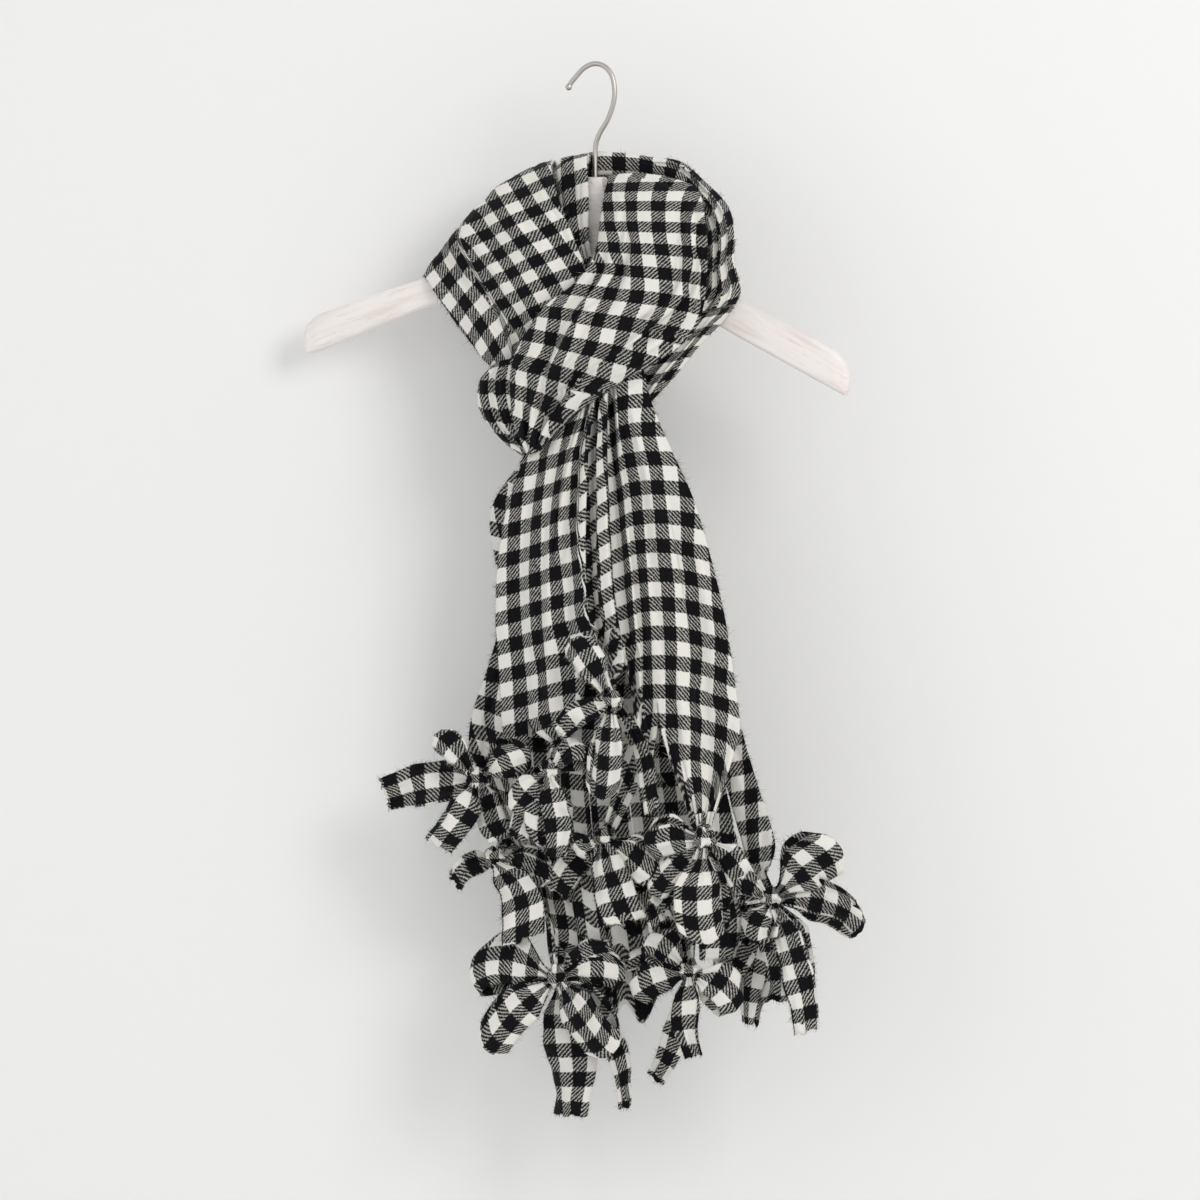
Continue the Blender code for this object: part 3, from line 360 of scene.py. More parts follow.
# Each bow: its knot, the hem and the place along it that its strips come from, its loops and
# its free ends.
BOWS = [
    Bow("bow_far_left", -92.0, -553.0, 38.0, "front", 0.03, [
        Loop("loop_right", -52.0, -530.0, FRONT_LAYER, 46.0, 24.0, 5.0),
        Loop("loop_left", -125.0, -518.0, FRONT_LAYER, 42.0, 20.0, 5.0),
    ], [
        Tail("tail_left", -166.0, -566.0, REAR_TAIL_LAYER, 30.0, 34.0, -3.0, 0.9),
        Tail("tail_down", -126.0, -606.0, FRONT_TAIL_LAYER, 48.0, 27.0, 4.0, 0.9),
        Tail("tail_right", -72.0, -600.0, REAR_TAIL_LAYER, 34.0, 24.0, -4.0, 0.9),
    ]),
    Bow("bow_left", -36.0, -546.0, 52.0, "front", 0.25, [
        Loop("loop_right", -6.0, -530.0, FRONT_LAYER, 57.0, 20.0, 4.0),
        Loop("loop_left", -66.0, -578.0, FRONT_LAYER, 54.0, 24.0, 4.0),
        Loop("loop_down", -40.0, -605.0, REAR_LAYER, 50.0, 28.0, 4.0),
    ], [
        Tail("tail_down", -30.0, -612.0, FRONT_TAIL_LAYER, 64.0, 22.0, 3.0, 0.9),
        Tail("tail_left", -62.0, -600.0, REAR_TAIL_LAYER, 40.0, 24.0, -3.0, 0.9),
    ]),
    Bow("bow_centre", 12.0, -492.0, 62.0, "front", 0.45, [
        Loop("loop_left", -19.0, -444.0, FRONT_LAYER, 66.0, 24.0, 6.0),
        Loop("loop_down", 3.0, -568.0, FRONT_LAYER, 76.0, 29.0, 5.0),
    ], [
        Tail("tail_right", 42.0, -578.0, REAR_TAIL_LAYER, 58.0, 15.0, 8.0, 0.8),
        Tail("tail_left", -30.0, -516.0, FRONT_TAIL_LAYER, 72.0, 20.0, -4.0, 0.9),
    ]),
    Bow("bow_right", 82.0, -598.0, 52.0, "front", 0.85, [
        Loop("loop_left", 36.0, -600.0, REAR_LAYER, 54.0, 25.0, 4.0),
        Loop("loop_down", 83.0, -678.0, FRONT_LAYER, 66.0, 35.0, 6.0),
        Loop("loop_down_left", 41.0, -640.0, REAR_LAYER, 46.0, 24.0, 4.0),
    ], [
        Tail("tail_left", 46.0, -650.0, REAR_TAIL_LAYER, 40.0, 24.0, -4.0, 0.9),
        Tail("tail_right", 114.0, -638.0, REAR_TAIL_LAYER, 42.0, 22.0, 4.0, 0.9),
        Tail("tail_down", 92.0, -690.0, REAR_TAIL_LAYER, 34.0, 30.0, 4.0, 0.9),
    ]),
    Bow("bow_low_far_left", -79.0, -615.0, 22.0, "back", 0.05, [
        Loop("loop_right", -34.0, -628.0, FRONT_LAYER, 30.0, 20.0, 4.0),
    ], [
        Tail("tail_down", -58.0, -678.0, FRONT_TAIL_LAYER, 38.0, 37.0, 11.0, 1.0),
        Tail("tail_left", -112.0, -634.0, REAR_TAIL_LAYER, 20.0, 17.0, -6.0, 0.8),
    ]),
    Bow("bow_low_left", -31.0, -706.0, 34.0, "back", 0.22, [
        Loop("loop_left", -99.0, -700.0, REAR_LAYER, 27.0, 42.0, 5.0),
        Loop("loop_down_left", -88.0, -762.0, FRONT_LAYER, 42.0, 35.0, 5.0),
        Loop("loop_down_right", 13.0, -764.0, FRONT_LAYER, 44.0, 36.0, 5.0),
        Loop("loop_right", 22.0, -702.0, REAR_LAYER, 34.0, 26.0, 4.0),
    ], [
        Tail("tail_down", -23.0, -814.0, REAR_TAIL_LAYER, 20.0, 40.0, 3.0, 1.0),
        Tail("tail_right", 21.0, -806.0, MIDDLE_LAYER, 29.0, 19.0, 16.0, 0.8),
        Tail("tail_up", 12.0, -684.0, REAR_TAIL_LAYER, 36.0, 22.0, 5.0, 0.9),
    ]),
    Bow("bow_low_right", 72.0, -700.0, 34.0, "back", 0.68, [
        Loop("loop_left", 26.0, -716.0, FRONT_LAYER, 34.0, 28.0, 5.0),
        Loop("loop_right", 110.0, -726.0, FRONT_LAYER, 38.0, 30.0, 5.0),
        Loop("loop_up_left", 36.0, -676.0, REAR_LAYER, 36.0, 24.0, 4.0),
    ], [
        Tail("tail_left", 44.0, -784.0, REAR_TAIL_LAYER, 24.0, 22.0, 5.0, 0.9),
        Tail("tail_right", 76.0, -764.0, FRONT_TAIL_LAYER, 50.0, 20.0, -4.0, 0.9),
        Tail("tail_left_up", 24.0, -694.0, REAR_TAIL_LAYER, 28.0, 20.0, -8.0, 0.8),
    ]),
    Bow("bow_low_far_right", 135.0, -643.0, 30.0, "back", 0.96, [
        Loop("loop_up", 184.0, -600.0, FRONT_LAYER, 38.0, 38.0, 6.0),
        Loop("loop_right", 205.0, -662.0, REAR_LAYER, 26.0, 29.0, 5.0),
        Loop("loop_left", 104.0, -634.0, FRONT_LAYER, 40.0, 20.0, 4.0),
        Loop("loop_down", 121.0, -678.0, FRONT_LAYER, 40.0, 26.0, 4.0),
    ], [
        Tail("tail_left", 118.0, -741.0, REAR_TAIL_LAYER, 16.0, 38.0, -6.0, 0.4),
        Tail("tail_right", 159.0, -745.0, FRONT_TAIL_LAYER, 44.0, 26.0, 6.0, 0.8),
        Tail("tail_far_left", 98.0, -716.0, REAR_TAIL_LAYER, 12.0, 34.0, -9.0, 0.9),
        Tail("tail_down", 144.0, -722.0, REAR_TAIL_LAYER, 26.0, 44.0, 3.0, 1.0),
    ]),
    Bow("bow_low_centre", 5.0, -598.0, 38.0, "front", 0.5875, [
        Loop("loop_left", -16.0, -610.0, FRONT_LAYER, 52.0, 20.0, 4.0),
        Loop("loop_right", 48.0, -628.0, FRONT_LAYER, 44.0, 24.0, 4.0),
    ], [
        Tail("tail_down", 22.0, -662.0, FRONT_TAIL_LAYER, 46.0, 34.0, -3.0, 1.0),
        Tail("tail_left", -32.0, -642.0, REAR_TAIL_LAYER, 30.0, 22.0, -6.0, 0.9),
        Tail("tail_right", 50.0, -662.0, REAR_TAIL_LAYER, 34.0, 28.0, 5.0, 0.9),
    ]),
]

# Creases of each stretch: a line from (u0, v0) to (u1, v1), its width and depth, and its bow.
LEFT_DRAPE_CREASES = [
    Crease(0.10, 0.30, 0.16, 1.00, 3.5, 3.0, 2.0),
    Crease(0.21, 0.42, 0.27, 0.98, 3.0, 3.5, -2.0),
    Crease(0.33, 0.36, 0.40, 0.92, 4.5, 2.0, 3.0),
    Crease(0.52, 0.28, 0.60, 0.72, 6.0, -1.8, 4.0),
    Crease(0.70, 0.34, 0.74, 0.80, 6.0, 1.6, -4.0),
    Crease(0.05, 0.24, 0.60, 0.30, 4.0, 1.4, 3.0),
    Crease(0.30, 0.14, 0.85, 0.20, 5.0, 1.8, -3.0),
    Crease(0.88, 0.30, 0.93, 0.85, 2.6, 2.6, 1.0),
]
LEFT_INNER_CREASES = [
    Crease(0.25, 0.25, 0.32, 0.95, 2.5, 1.6, 1.0),
    Crease(0.72, 0.25, 0.66, 0.90, 2.5, 1.8, -1.0),
]
NECK_BACK_CREASES = [
    Crease(0.12, 0.20, 0.20, 1.00, 4.0, -2.2, 2.0),
    Crease(0.40, 0.25, 0.36, 0.95, 5.0, -2.6, 3.0),
    Crease(0.66, 0.25, 0.62, 0.95, 4.0, -2.2, -3.0),
    Crease(0.90, 0.25, 0.86, 1.00, 4.0, 2.4, 2.0),
    Crease(0.30, 0.55, 0.75, 0.50, 6.0, 1.6, 4.0),
]
LOOP_BAND_CREASES = [
    Crease(0.04, 0.24, 0.40, 0.92, 3.4, 6.5, -5.0),
    Crease(0.12, 0.26, 0.42, 0.74, 4.0, -3.4, -4.0),
    Crease(0.20, 0.10, 0.14, 0.32, 3.0, 2.6, 1.0),
    Crease(0.94, 0.04, 0.68, 0.70, 3.0, 6.0, 3.0),
    Crease(0.86, 0.10, 0.78, 0.44, 3.2, -3.2, 3.0),
    Crease(0.97, 0.20, 0.86, 0.70, 2.6, 4.0, 2.0),
    Crease(0.60, 0.48, 0.88, 0.56, 5.0, 2.4, 2.0),
    Crease(0.20, 0.02, 0.80, 0.05, 2.6, 2.2, 1.0),
    Crease(0.10, 0.70, 0.22, 0.98, 3.0, 4.0, 2.0),
    Crease(0.32, 0.80, 0.80, 0.70, 4.0, 3.0, -3.0),
    Crease(0.26, 0.16, 0.20, 0.60, 2.4, 4.4, 2.0),
    Crease(0.52, 0.60, 0.58, 0.98, 3.0, 3.2, -2.0),
]
LOOP_FOLD_CREASES = [
    Crease(0.14, 0.05, 0.20, 0.95, 1.9, 3.2, 1.0),
    Crease(0.30, 0.00, 0.36, 0.98, 1.7, 2.6, -1.0),
    Crease(0.45, 0.02, 0.50, 0.96, 2.2, 3.4, -1.5),
    Crease(0.62, 0.04, 0.66, 0.96, 1.7, 2.4, 1.0),
    Crease(0.78, 0.04, 0.80, 0.95, 1.9, 2.8, 1.0),
]
RIGHT_SHOULDER_CREASES = [
    Crease(0.12, 0.42, 0.16, 1.00, 1.8, 2.6, 0.6),
    Crease(0.38, 0.40, 0.38, 1.00, 1.6, 3.4, 0.5),
    Crease(0.66, 0.16, 0.62, 1.00, 1.7, 4.2, -0.6),
    Crease(0.88, 0.55, 0.86, 0.98, 2.0, 1.8, 0.4),
    Crease(0.20, 0.22, 0.90, 0.26, 2.2, 1.6, 0.5),
    Crease(0.70, 0.34, 0.98, 0.37, 1.8, 1.2, 0.3),
    Crease(0.72, 0.50, 0.98, 0.53, 1.8, 1.2, 0.3),
    Crease(0.68, 0.66, 0.98, 0.64, 1.8, 1.2, -0.3),
]
LOOP_RETURN_CREASES = [
    Crease(0.18, 0.02, 0.24, 0.98, 2.4, 2.2, 1.0),
    Crease(0.56, 0.02, 0.52, 0.98, 2.2, 2.4, 1.5),
    Crease(0.86, 0.05, 0.80, 0.95, 2.2, 1.8, 1.0),
]
FRONT_TAIL_CREASES = [
    Crease(0.06, 0.22, 0.06, 0.90, 2.6, 1.8, 2.0),
    Crease(0.22, 0.10, 0.16, 0.80, 3.5, 2.6, 3.0),
    Crease(0.34, 0.05, 0.24, 0.60, 2.2, 4.2, -2.0),
    Crease(0.46, 0.00, 0.40, 0.76, 1.7, 6.0, 1.0),
    Crease(0.54, 0.00, 0.45, 0.82, 2.2, -3.6, 1.0),
    Crease(0.60, 0.00, 0.52, 0.90, 1.7, 6.5, -1.0),
    Crease(0.67, 0.03, 0.60, 0.92, 2.0, 4.0, 2.0),
    Crease(0.76, 0.10, 0.70, 0.72, 3.5, 1.6, -3.0),
    Crease(0.86, 0.30, 0.82, 0.99, 3.0, 2.4, 2.0),
    Crease(0.70, 0.66, 0.74, 1.00, 3.0, 2.4, 2.0),
    Crease(0.58, 0.70, 0.64, 1.00, 3.0, 2.6, -2.0),
    Crease(0.96, 0.45, 0.94, 0.98, 3.0, 1.8, 1.0),
    Crease(0.12, 0.66, 0.20, 1.00, 3.5, 2.2, 2.0),
]
BACK_TAIL_CREASES = [
    Crease(0.04, 0.30, 0.05, 0.98, 3.0, 2.2, 2.0),
    Crease(0.18, 0.20, 0.20, 0.98, 4.0, 2.4, 3.0),
    Crease(0.36, 0.10, 0.34, 0.98, 4.0, -2.2, 3.0),
    Crease(0.54, 0.15, 0.52, 0.99, 4.0, 2.4, -3.0),
    Crease(0.70, 0.10, 0.68, 0.98, 4.0, -2.0, 2.0),
    Crease(0.84, 0.20, 0.82, 0.98, 3.0, 2.4, 2.0),
    Crease(0.96, 0.40, 0.95, 0.98, 3.0, 1.8, 1.0),
]

# The strips that each hem is cut into: from left to right across it, the place that each is
# gathered to and how much, where its slit starts, and how it hangs, in millimetres.
FRONT_STRIPS = [
    HemStrip(0.000, 0.105, 0.04, 0.40, 0.88, 2.0, 1.5, 4.0),
    HemStrip(0.105, 0.360, 0.25, 0.64, 0.84, 2.0, -1.5, -5.0),
    HemStrip(0.360, 0.520, 0.45, 0.56, 0.86, 0.0, 2.5, 3.0),
    HemStrip(0.520, 0.660, 0.59, 0.50, 0.82, 6.0, -2.0, -4.0),
    HemStrip(0.660, 1.010, 0.85, 0.70, 0.86, 4.0, 1.5, 3.0),
]
BACK_STRIPS = [
    HemStrip(0.000, 0.130, 0.05, 0.40, 0.88, 0.0, 1.0, 4.0),
    HemStrip(0.130, 0.330, 0.22, 0.50, 0.88, 0.0, -1.5, -5.0),
    HemStrip(0.330, 0.430, 0.38, -0.14, 0.62, 22.0, 3.5, 6.0),
    HemStrip(0.430, 0.570, 0.50, -0.14, 0.66, 34.0, -2.0, -7.0),
    HemStrip(0.570, 0.790, 0.68, 0.50, 0.86, 0.0, 2.5, 4.0),
    HemStrip(0.790, 0.900, 0.85, -0.14, 0.72, 40.0, -2.5, -6.0),
    HemStrip(0.900, 1.010, 0.96, 0.40, 0.88, 0.0, 1.5, 3.0),
]

# Where x runs the other way, the cloth shows its other face, whose twill leans to the left.
LEFT_WEAVE = [
    Weave(-58.2, -137.6, (0.846, 0.545, 0.0, 0.0, 0.0), (0.467, -1.218, 0.0, 0.0, 0.0), None),
    Weave(-113.6, -166.0, (0.941, 0.560, 0.0, 0.0, 0.0), (0.743, -0.842, 0.0, 0.0, 0.0),
          ((-97.9, -135.6), (-65.3, -220.3))),
]
BAND_WEAVE = [
    Weave(28.7, -162.2, (0.985, -0.059, 0.0, 0.00123, 0.0), (-0.098, -1.221, 0.00146, -0.00241, 0.0),
          None),
]
FRONT_WEAVE = [
    Weave(33.3, -373.4, (-1.03, -0.072, 0.0, -0.0004, 0.0), (0.103, -1.03, 0.0, 0.0, -0.0033), None),
    Weave(-63.9, -404.1, (1.03, 0.0, 0.001, -0.0004, 0.0), (0.234, -1.04, 0.0, 0.0, 0.0),
          ((1.5, -255.0), (11.5, -438.0))),
]
WEAVE_BLEND = 5.0

# A crease's slopes and ends, the gathers at a hem, the soft waves over the cloth (the size, the
# stretch along the cloth and the height of each, and its seed's step), and how the strips of the
# bows are gathered, curled and twisted.
GENTLE_SIDE = 1.7
STEEP_SIDE = 0.6
CREASE_FADE = 0.22
PUCKER_PITCH = 9.0
PUCKER_DEPTH = 2.6
PUCKER_START = 0.82
PUCKER_FADE = 0.15
HEM_RIPPLE = 0.25
HEM_RIPPLE_TURNS = 60.0
PANEL_WAVES = [(11.0, 3.0, 0.9), (5.0, 2.0, 0.35)]
PANEL_WAVE_STEP = 9.0
STRIP_WAVE = (15.0, 1.3)
STRIP_FINE_WAVE = (6.5, 1.6)
STRIP_FINE_SHARE = 0.38
STRIP_WAVE_STEP = 5.0
GATHER_TURNS = 2.6
GATHER_SPREAD = 0.7
CALM_MIDDLE = 0.4
STRIP_GATHER = 1.5
LEAD_GATHER = 1.3
LOOP_GATHER_LOSS = 1.1
LOOP_PLY_INSET = 0.175
LOOP_TIP_CUP = 0.06
LOOP_FLUTTER = 3.4
LOOP_TWIST = 0.38
LOOP_CURL = 0.10
TAIL_INSET = 1.8
TAIL_GATHER_LOSS = 1.0
TAIL_TIP_CUP = 0.09
TAIL_FLUTTER = 3.6
TAIL_TWIST = 0.62
TAIL_CURL = 0.16
TAIL_WANDER = 2.6
RAGGED_DEPTH = 3.4
RAGGED_PITCH = 3.1

# Each stretch: its sizes, its mesh, where its checks start, how they lean, and what it lies on.
PANELS = [
    Panel("neck_back", NECK_BACK, NECK_BACK_FOLDS, None, (), 110, 80, NECK_BACK_CREASES,
          (0.3, 0.3), None, (3.0, 5.0), ["hanger_bar", "left_drape"]),
    Panel("left_drape", LEFT_DRAPE, LEFT_DRAPE_FOLDS, None, (), 110, 140, LEFT_DRAPE_CREASES,
          (0.6, 0.6), LEFT_WEAVE, (0.0, 0.0), ["hanger_bar"]),
    Panel("left_inner", LEFT_INNER, LEFT_INNER_FOLDS, None, (), 30, 90, LEFT_INNER_CREASES,
          (0.5, 0.5), None, (4.0, 0.0), ["hanger_bar"]),
    Panel("loop_fold", LOOP_FOLD, LOOP_FOLD_FOLDS, None, (), 50, 60, LOOP_FOLD_CREASES,
          (0.5, 0.5), None, (0.0, 0.0), ["loop_band"]),
    Panel("right_shoulder", RIGHT_SHOULDER, RIGHT_SHOULDER_FOLDS, None, (), 60, 190,
          RIGHT_SHOULDER_CREASES, (0.5, 0.5), None, (0.0, 0.0), ["hanger_bar"]),
    Panel("loop_return", LOOP_RETURN, LOOP_RETURN_FOLDS, None, (), 60, 70, LOOP_RETURN_CREASES,
          (0.5, 0.5), None, (6.0, 0.0), ["hanger_bar"]),
    Panel("loop_band", LOOP_BAND, LOOP_BAND_FOLDS, None, (), 130, 170, LOOP_BAND_CREASES,
          (0.45, 0.45), BAND_WEAVE, (0.0, 0.0), ["front_tail"]),
    Panel("front_tail", FRONT_TAIL, FRONT_TAIL_FOLDS, FRONT_HEM, FRONT_STRIPS, 240, 190,
          FRONT_TAIL_CREASES, (0.50, 0.42), FRONT_WEAVE, (0.0, 0.0), ["back_tail"]),
    Panel("back_tail", BACK_TAIL, BACK_TAIL_FOLDS, BACK_HEM, BACK_STRIPS, 180, 160, BACK_TAIL_CREASES,
          (0.46, 0.45), None, (5.0, 4.0), ["hanger_bar"]),
]


def ease(value):
    """A smooth step from 0 to 1."""
    value = np.clip(value, 0.0, 1.0)
    return value * value * (3.0 - 2.0 * value)


def read_table(rows, t):
    """The values of a table at t from 0 to 1, on smooth curves through its rows."""
    table = np.array(rows, dtype=float)
    last = len(table) - 1
    place = np.clip(t, 0.0, 1.0) * last
    start = np.minimum(place.astype(int), last - 1)
    f = (place - start)[..., None]
    a = table[np.maximum(start - 1, 0)]
    b = table[start]
    c = table[start + 1]
    d = table[np.minimum(start + 2, last)]
    bend = 2 * a - 5 * b + 4 * c - d
    twist = 3 * b - a - 3 * c + d
    return 0.5 * (2 * b + (c - a) * f + bend * f * f + twist * f ** 3)


def seen(across, ahead, height):
    """Places in the hanger's frame, in millimetres, from where they are seen."""
    along = (across + ahead * math.sin(VIEW_TURN)) / math.cos(VIEW_TURN)
    return np.stack(np.broadcast_arrays(along, -1.0 * ahead, height), axis=-1)


def normals_of(points):
    """The way out of the front of a grid of points, at each of them."""
    down = np.gradient(points, axis=0)
    over = np.gradient(points, axis=1)
    out = np.cross(down, over)
    return out / np.maximum(np.linalg.norm(out, axis=-1, keepdims=True), 1e-9)


def arc_layout(points, anchor):
    """The cloth's own measures across and along, from the lengths of a grid's lines."""
    over = np.linalg.norm(np.diff(points, axis=1), axis=-1)
    down = np.linalg.norm(np.diff(points, axis=0), axis=-1)
    across = np.pad(np.cumsum(over, axis=1), ((0, 0), (1, 0)))
    along = np.pad(np.cumsum(down, axis=0), ((1, 0), (0, 0)))
    lines, columns = across.shape
    places = np.linspace(anchor[0], anchor[1], lines) * (columns - 1)
    whole = np.minimum(places.astype(int), columns - 2)
    share = places - whole
    index = np.arange(lines)
    start = across[index, whole] * (1 - share) + across[index, whole + 1] * share
    return np.stack([across - start[:, None], along], axis=-1)


def checks_layout(layout, points, panel):
    """Where the checks lie on a stretch: as its cloth runs, or as its weave says."""
    return seen_checks(points, panel.weave) if panel.weave else layout + np.array(panel.shift)


def heights_unrolled(points):
    """The heights of a stretch's points, with what hangs behind its top laid up over it."""
    steps = np.linalg.norm(np.diff(points[..., 1:], axis=0), axis=-1)
    run = np.pad(np.cumsum(steps, axis=0), ((1, 0), (0, 0)))
    height = points[..., 2]
    top = height.argmax(axis=0)[None, :]
    over = np.take_along_axis(height, top, 0) + np.take_along_axis(run, top, 0) - run
    return np.where(np.arange(len(run))[:, None] < top, over, height)


def seen_checks(points, weaves):
    """Checks that run as they are seen, from a black check's middle; they go on round the sides.

    A second weave takes over to the left of the line through its own two places, top first.
    """
    seen_across = points[..., 0] * math.cos(VIEW_TURN) + points[..., 1] * math.sin(VIEW_TURN)
    steps = np.linalg.norm(np.diff(points[..., :2], axis=1), axis=-1)
    run = np.pad(np.cumsum(steps, axis=1), ((0, 0), (1, 0)))
    index = np.arange(len(run))
    height = heights_unrolled(points)
    shown = None
    for weave in weaves:
        nearest = np.hypot(seen_across - weave.x, height - weave.z).argmin() % run.shape[1]
        guide = np.polyval(np.polyfit(index, seen_across[:, nearest], 3), index)
        x = run + (guide - run[:, nearest] - weave.x)[:, None]
        z = height - weave.z
        terms = np.stack([x, z, x * z, z * z, x * x], axis=-1)
        laid = np.stack([terms @ np.array(weave.across), terms @ np.array(weave.along)], axis=-1)
        if shown is None:
            shown = laid
        else:
            (x0, z0), (x1, z1) = weave.line
            side = (x + weave.x - x0) * (z0 - z1) - (height - z0) * (x0 - x1)
            share = ease(side / math.hypot(x1 - x0, z1 - z0) / WEAVE_BLEND + 0.5)[..., None]
            shown = laid * (1.0 - share) + shown * share
    return shown


def rumple(layout, seed, scale, stretch):
    """Soft uneven waves over a cloth, from -1 to 1, long along it by stretch."""
    flat = layout.reshape(-1, 2)
    values = [
        noise.noise(Vector((x / scale, y / (scale * stretch), seed)))
        for x, y in flat
    ]
    return np.array(values).reshape(layout.shape[:2])


def crease_depth(creases, u, v, across, along):
    """How deep the creases are at each point of a stretch of a mean width and length."""
    depth = np.zeros(np.broadcast(u, v).shape)
    for crease in creases:
        start = np.array([crease.u0 * across, crease.v0 * along])
        run = np.array([crease.u1 * across, crease.v1 * along]) - start
        length = np.hypot(*run)
        x = u * across - start[0]
        y = v * along - start[1]
        t = (x * run[0] + y * run[1]) / length ** 2
        off = (x * run[1] - y * run[0]) / length - crease.bow * np.sin(np.pi * np.clip(t, 0.0, 1.0))
        fade = ease(t / CREASE_FADE) * ease((1.0 - t) / CREASE_FADE)
        wide = crease.width * np.where(off > 0.0, GENTLE_SIDE, STEEP_SIDE)
        depth += crease.depth * fade * np.exp(-((off / wide) ** 2))
    return depth


def surface_points(panel, u, v):
    """The points of a stretch at shares of its width and length, before its creases."""
    values = np.moveaxis(read_table(panel.rows, v[:, 0]), -1, 0)[..., None]
    row = Row(*values)
    fullness = 1.0 - np.abs(2.0 * u - 1.0) ** SWELL_POWER
    across = row.left + (row.right - row.left) * u
    height = row.left_height + (row.right_height - row.left_height) * u + row.arch * fullness
    if panel.hem:
        drop = read_table(panel.hem, u)[..., 0]
        height = height + drop * ease((v - HEM_START) / (1.0 - HEM_START))
    side = row.ahead_left + (row.ahead_right - row.ahead_left) * u
    ahead = side + (row.ahead_middle - (row.ahead_left + row.ahead_right) / 2.0) * fullness
    for fold in panel.folds:
        centre = fold.start + (fold.end - fold.start) * v
        reach = ease((v - fold.top) / FOLD_FADE) * ease((fold.bottom - v) / FOLD_FADE)
        ahead = ahead - fold.depth * reach * np.exp(-((u - centre) / fold.width) ** 2)
    return seen(across, ahead, height)


def hang_strips(panel, u, v, width):
    """Where the columns of a hem's strips are drawn to, and how far they hang down and ahead."""
    drawn = np.broadcast_to(u, (v.size, u.size)).copy()
    down = np.zeros_like(drawn)
    ahead = np.zeros_like(drawn)
    for strip in panel.strips:
        inside = (u >= strip.left) & (u < strip.right)
        free = ease((v - strip.start) / (1.0 - strip.start))
        off = u - strip.centre
        drawn = np.where(inside, strip.centre + off * (1.0 - strip.gather * free), drawn)
        ripple = 1.0 + HEM_RIPPLE * np.sin(off * HEM_RIPPLE_TURNS)
        down = np.where(inside, strip.drop * free * ripple, down)
        lift = (strip.ahead + strip.tilt * off / (strip.right - strip.left)) * free
        puckers = np.cos(TAU * off * width / PUCKER_PITCH) * PUCKER_DEPTH * strip.gather
        near = ease((v - PUCKER_START) / PUCKER_FADE)
        ahead = np.where(inside, lift + puckers * near * free, ahead)
    return drawn, down, ahead


def slit_cells(panel):
    """The cells of a stretch's mesh that its slits take away."""
    cells = np.zeros((panel.lines, panel.columns), dtype=bool)
    for left, right in zip(panel.strips, panel.strips[1:]):
        column = math.ceil(left.right * panel.columns) - 1
        cells[int(min(left.start, right.start) * panel.lines) + 1:, column] = True
    return cells


def panel_grid(panel, strength):
    """The points of a stretch, its cloth's layout and where its checks lie, in millimetres."""
    u = np.linspace(0.0, 1.0, panel.columns + 1)[None, :]
    v = np.linspace(0.0, 1.0, panel.lines + 1)[:, None]
    points = surface_points(panel, u, v)
    layout = arc_layout(points, panel.anchor)
    size = np.ptp(layout[..., 0], axis=1).mean(), layout[-1, :, 1].mean()
    depth = crease_depth(panel.creases, u, v, *size) * strength
    seed = float(len(panel.name) * 7 + panel.columns)
    for step, (scale, stretch, height) in enumerate(PANEL_WAVES):
        depth = depth + rumple(layout, seed + PANEL_WAVE_STEP * step, scale, stretch) * height
    points = points - normals_of(points) * depth[..., None]
    layout = arc_layout(points, panel.anchor)
    shown = checks_layout(layout, points, panel)
    if panel.strips:
        drawn, down, ahead = hang_strips(panel, u, v, size[0])
        points = points + surface_points(panel, drawn, v) - surface_points(panel, u, v)
        points[..., 1] -= ahead
        points[..., 2] -= down
    return points, layout, shown


def mesh_object(name, points, faces, checks, look):
    """A smooth object from points in millimetres and its faces, with its checks as a map."""
    mesh = bpy.data.meshes.new(name)
    mesh.from_pydata((points * MM).tolist(), [], faces)
    weave = mesh.uv_layers.new(name="weave")
    corners = np.empty(len(mesh.loops), dtype=np.int32)
    mesh.loops.foreach_get("vertex_index", corners)
    weave.uv.foreach_set("vector", checks[corners].astype(np.float32).ravel())
    mesh.shade_smooth()
    mesh.materials.append(look)
    thing = bpy.data.objects.new(name, mesh)
    bpy.context.scene.collection.objects.link(thing)
    return thing


def grid_faces(lines, columns, closed=False):
    """The four-sided faces of a grid of points, joined round its lines where closed."""
    faces = []
    over = columns if closed else columns - 1
    for i in range(lines - 1):
        here, below = i * columns, (i + 1) * columns
        for j in range(over):
            after = (j + 1) % columns
            faces.append((here + j, below + j, below + after, here + after))
    return faces


def cloth_object(name, points, layout, look, period, thickness, slits=None):
    """A thin cloth on a grid of points: its outer face, and a wall behind it."""
    lines, columns = points.shape[:2]
    faces = grid_faces(lines, columns)
    if slits is not None:
        faces = [face for face, away in zip(faces, slits.ravel()) if not away]
    checks = (layout / period).reshape(-1, 2)
    thing = mesh_object(name, points.reshape(-1, 3), faces, checks, look)
    wall = thing.modifiers.new("cloth thickness", "SOLIDIFY")
    wall.thickness = thickness * MM
    wall.offset = -1.0
    wall.use_even_offset = False
    return thing


def finish_cloth(thing, nodes):
    """Puts a cloth piece in its place in the frame and hides the solids that it stands in for."""
    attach(thing, "root")
    if nodes:
        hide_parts(*nodes)
    return thing


def strip_frame(bow, strip):
    """A strip's start, length, heading and the way across it, in the hanger's frame."""
    centre = seen(bow.across, bow.ahead, bow.height)
    tip = seen(strip.across, strip.ahead, strip.height)
    out = np.array([tip[0] - centre[0], tip[2] - centre[2]])
    length = float(np.hypot(*out))
    heading = out / length
    return centre, length, heading, np.array([-heading[1], heading[0]])


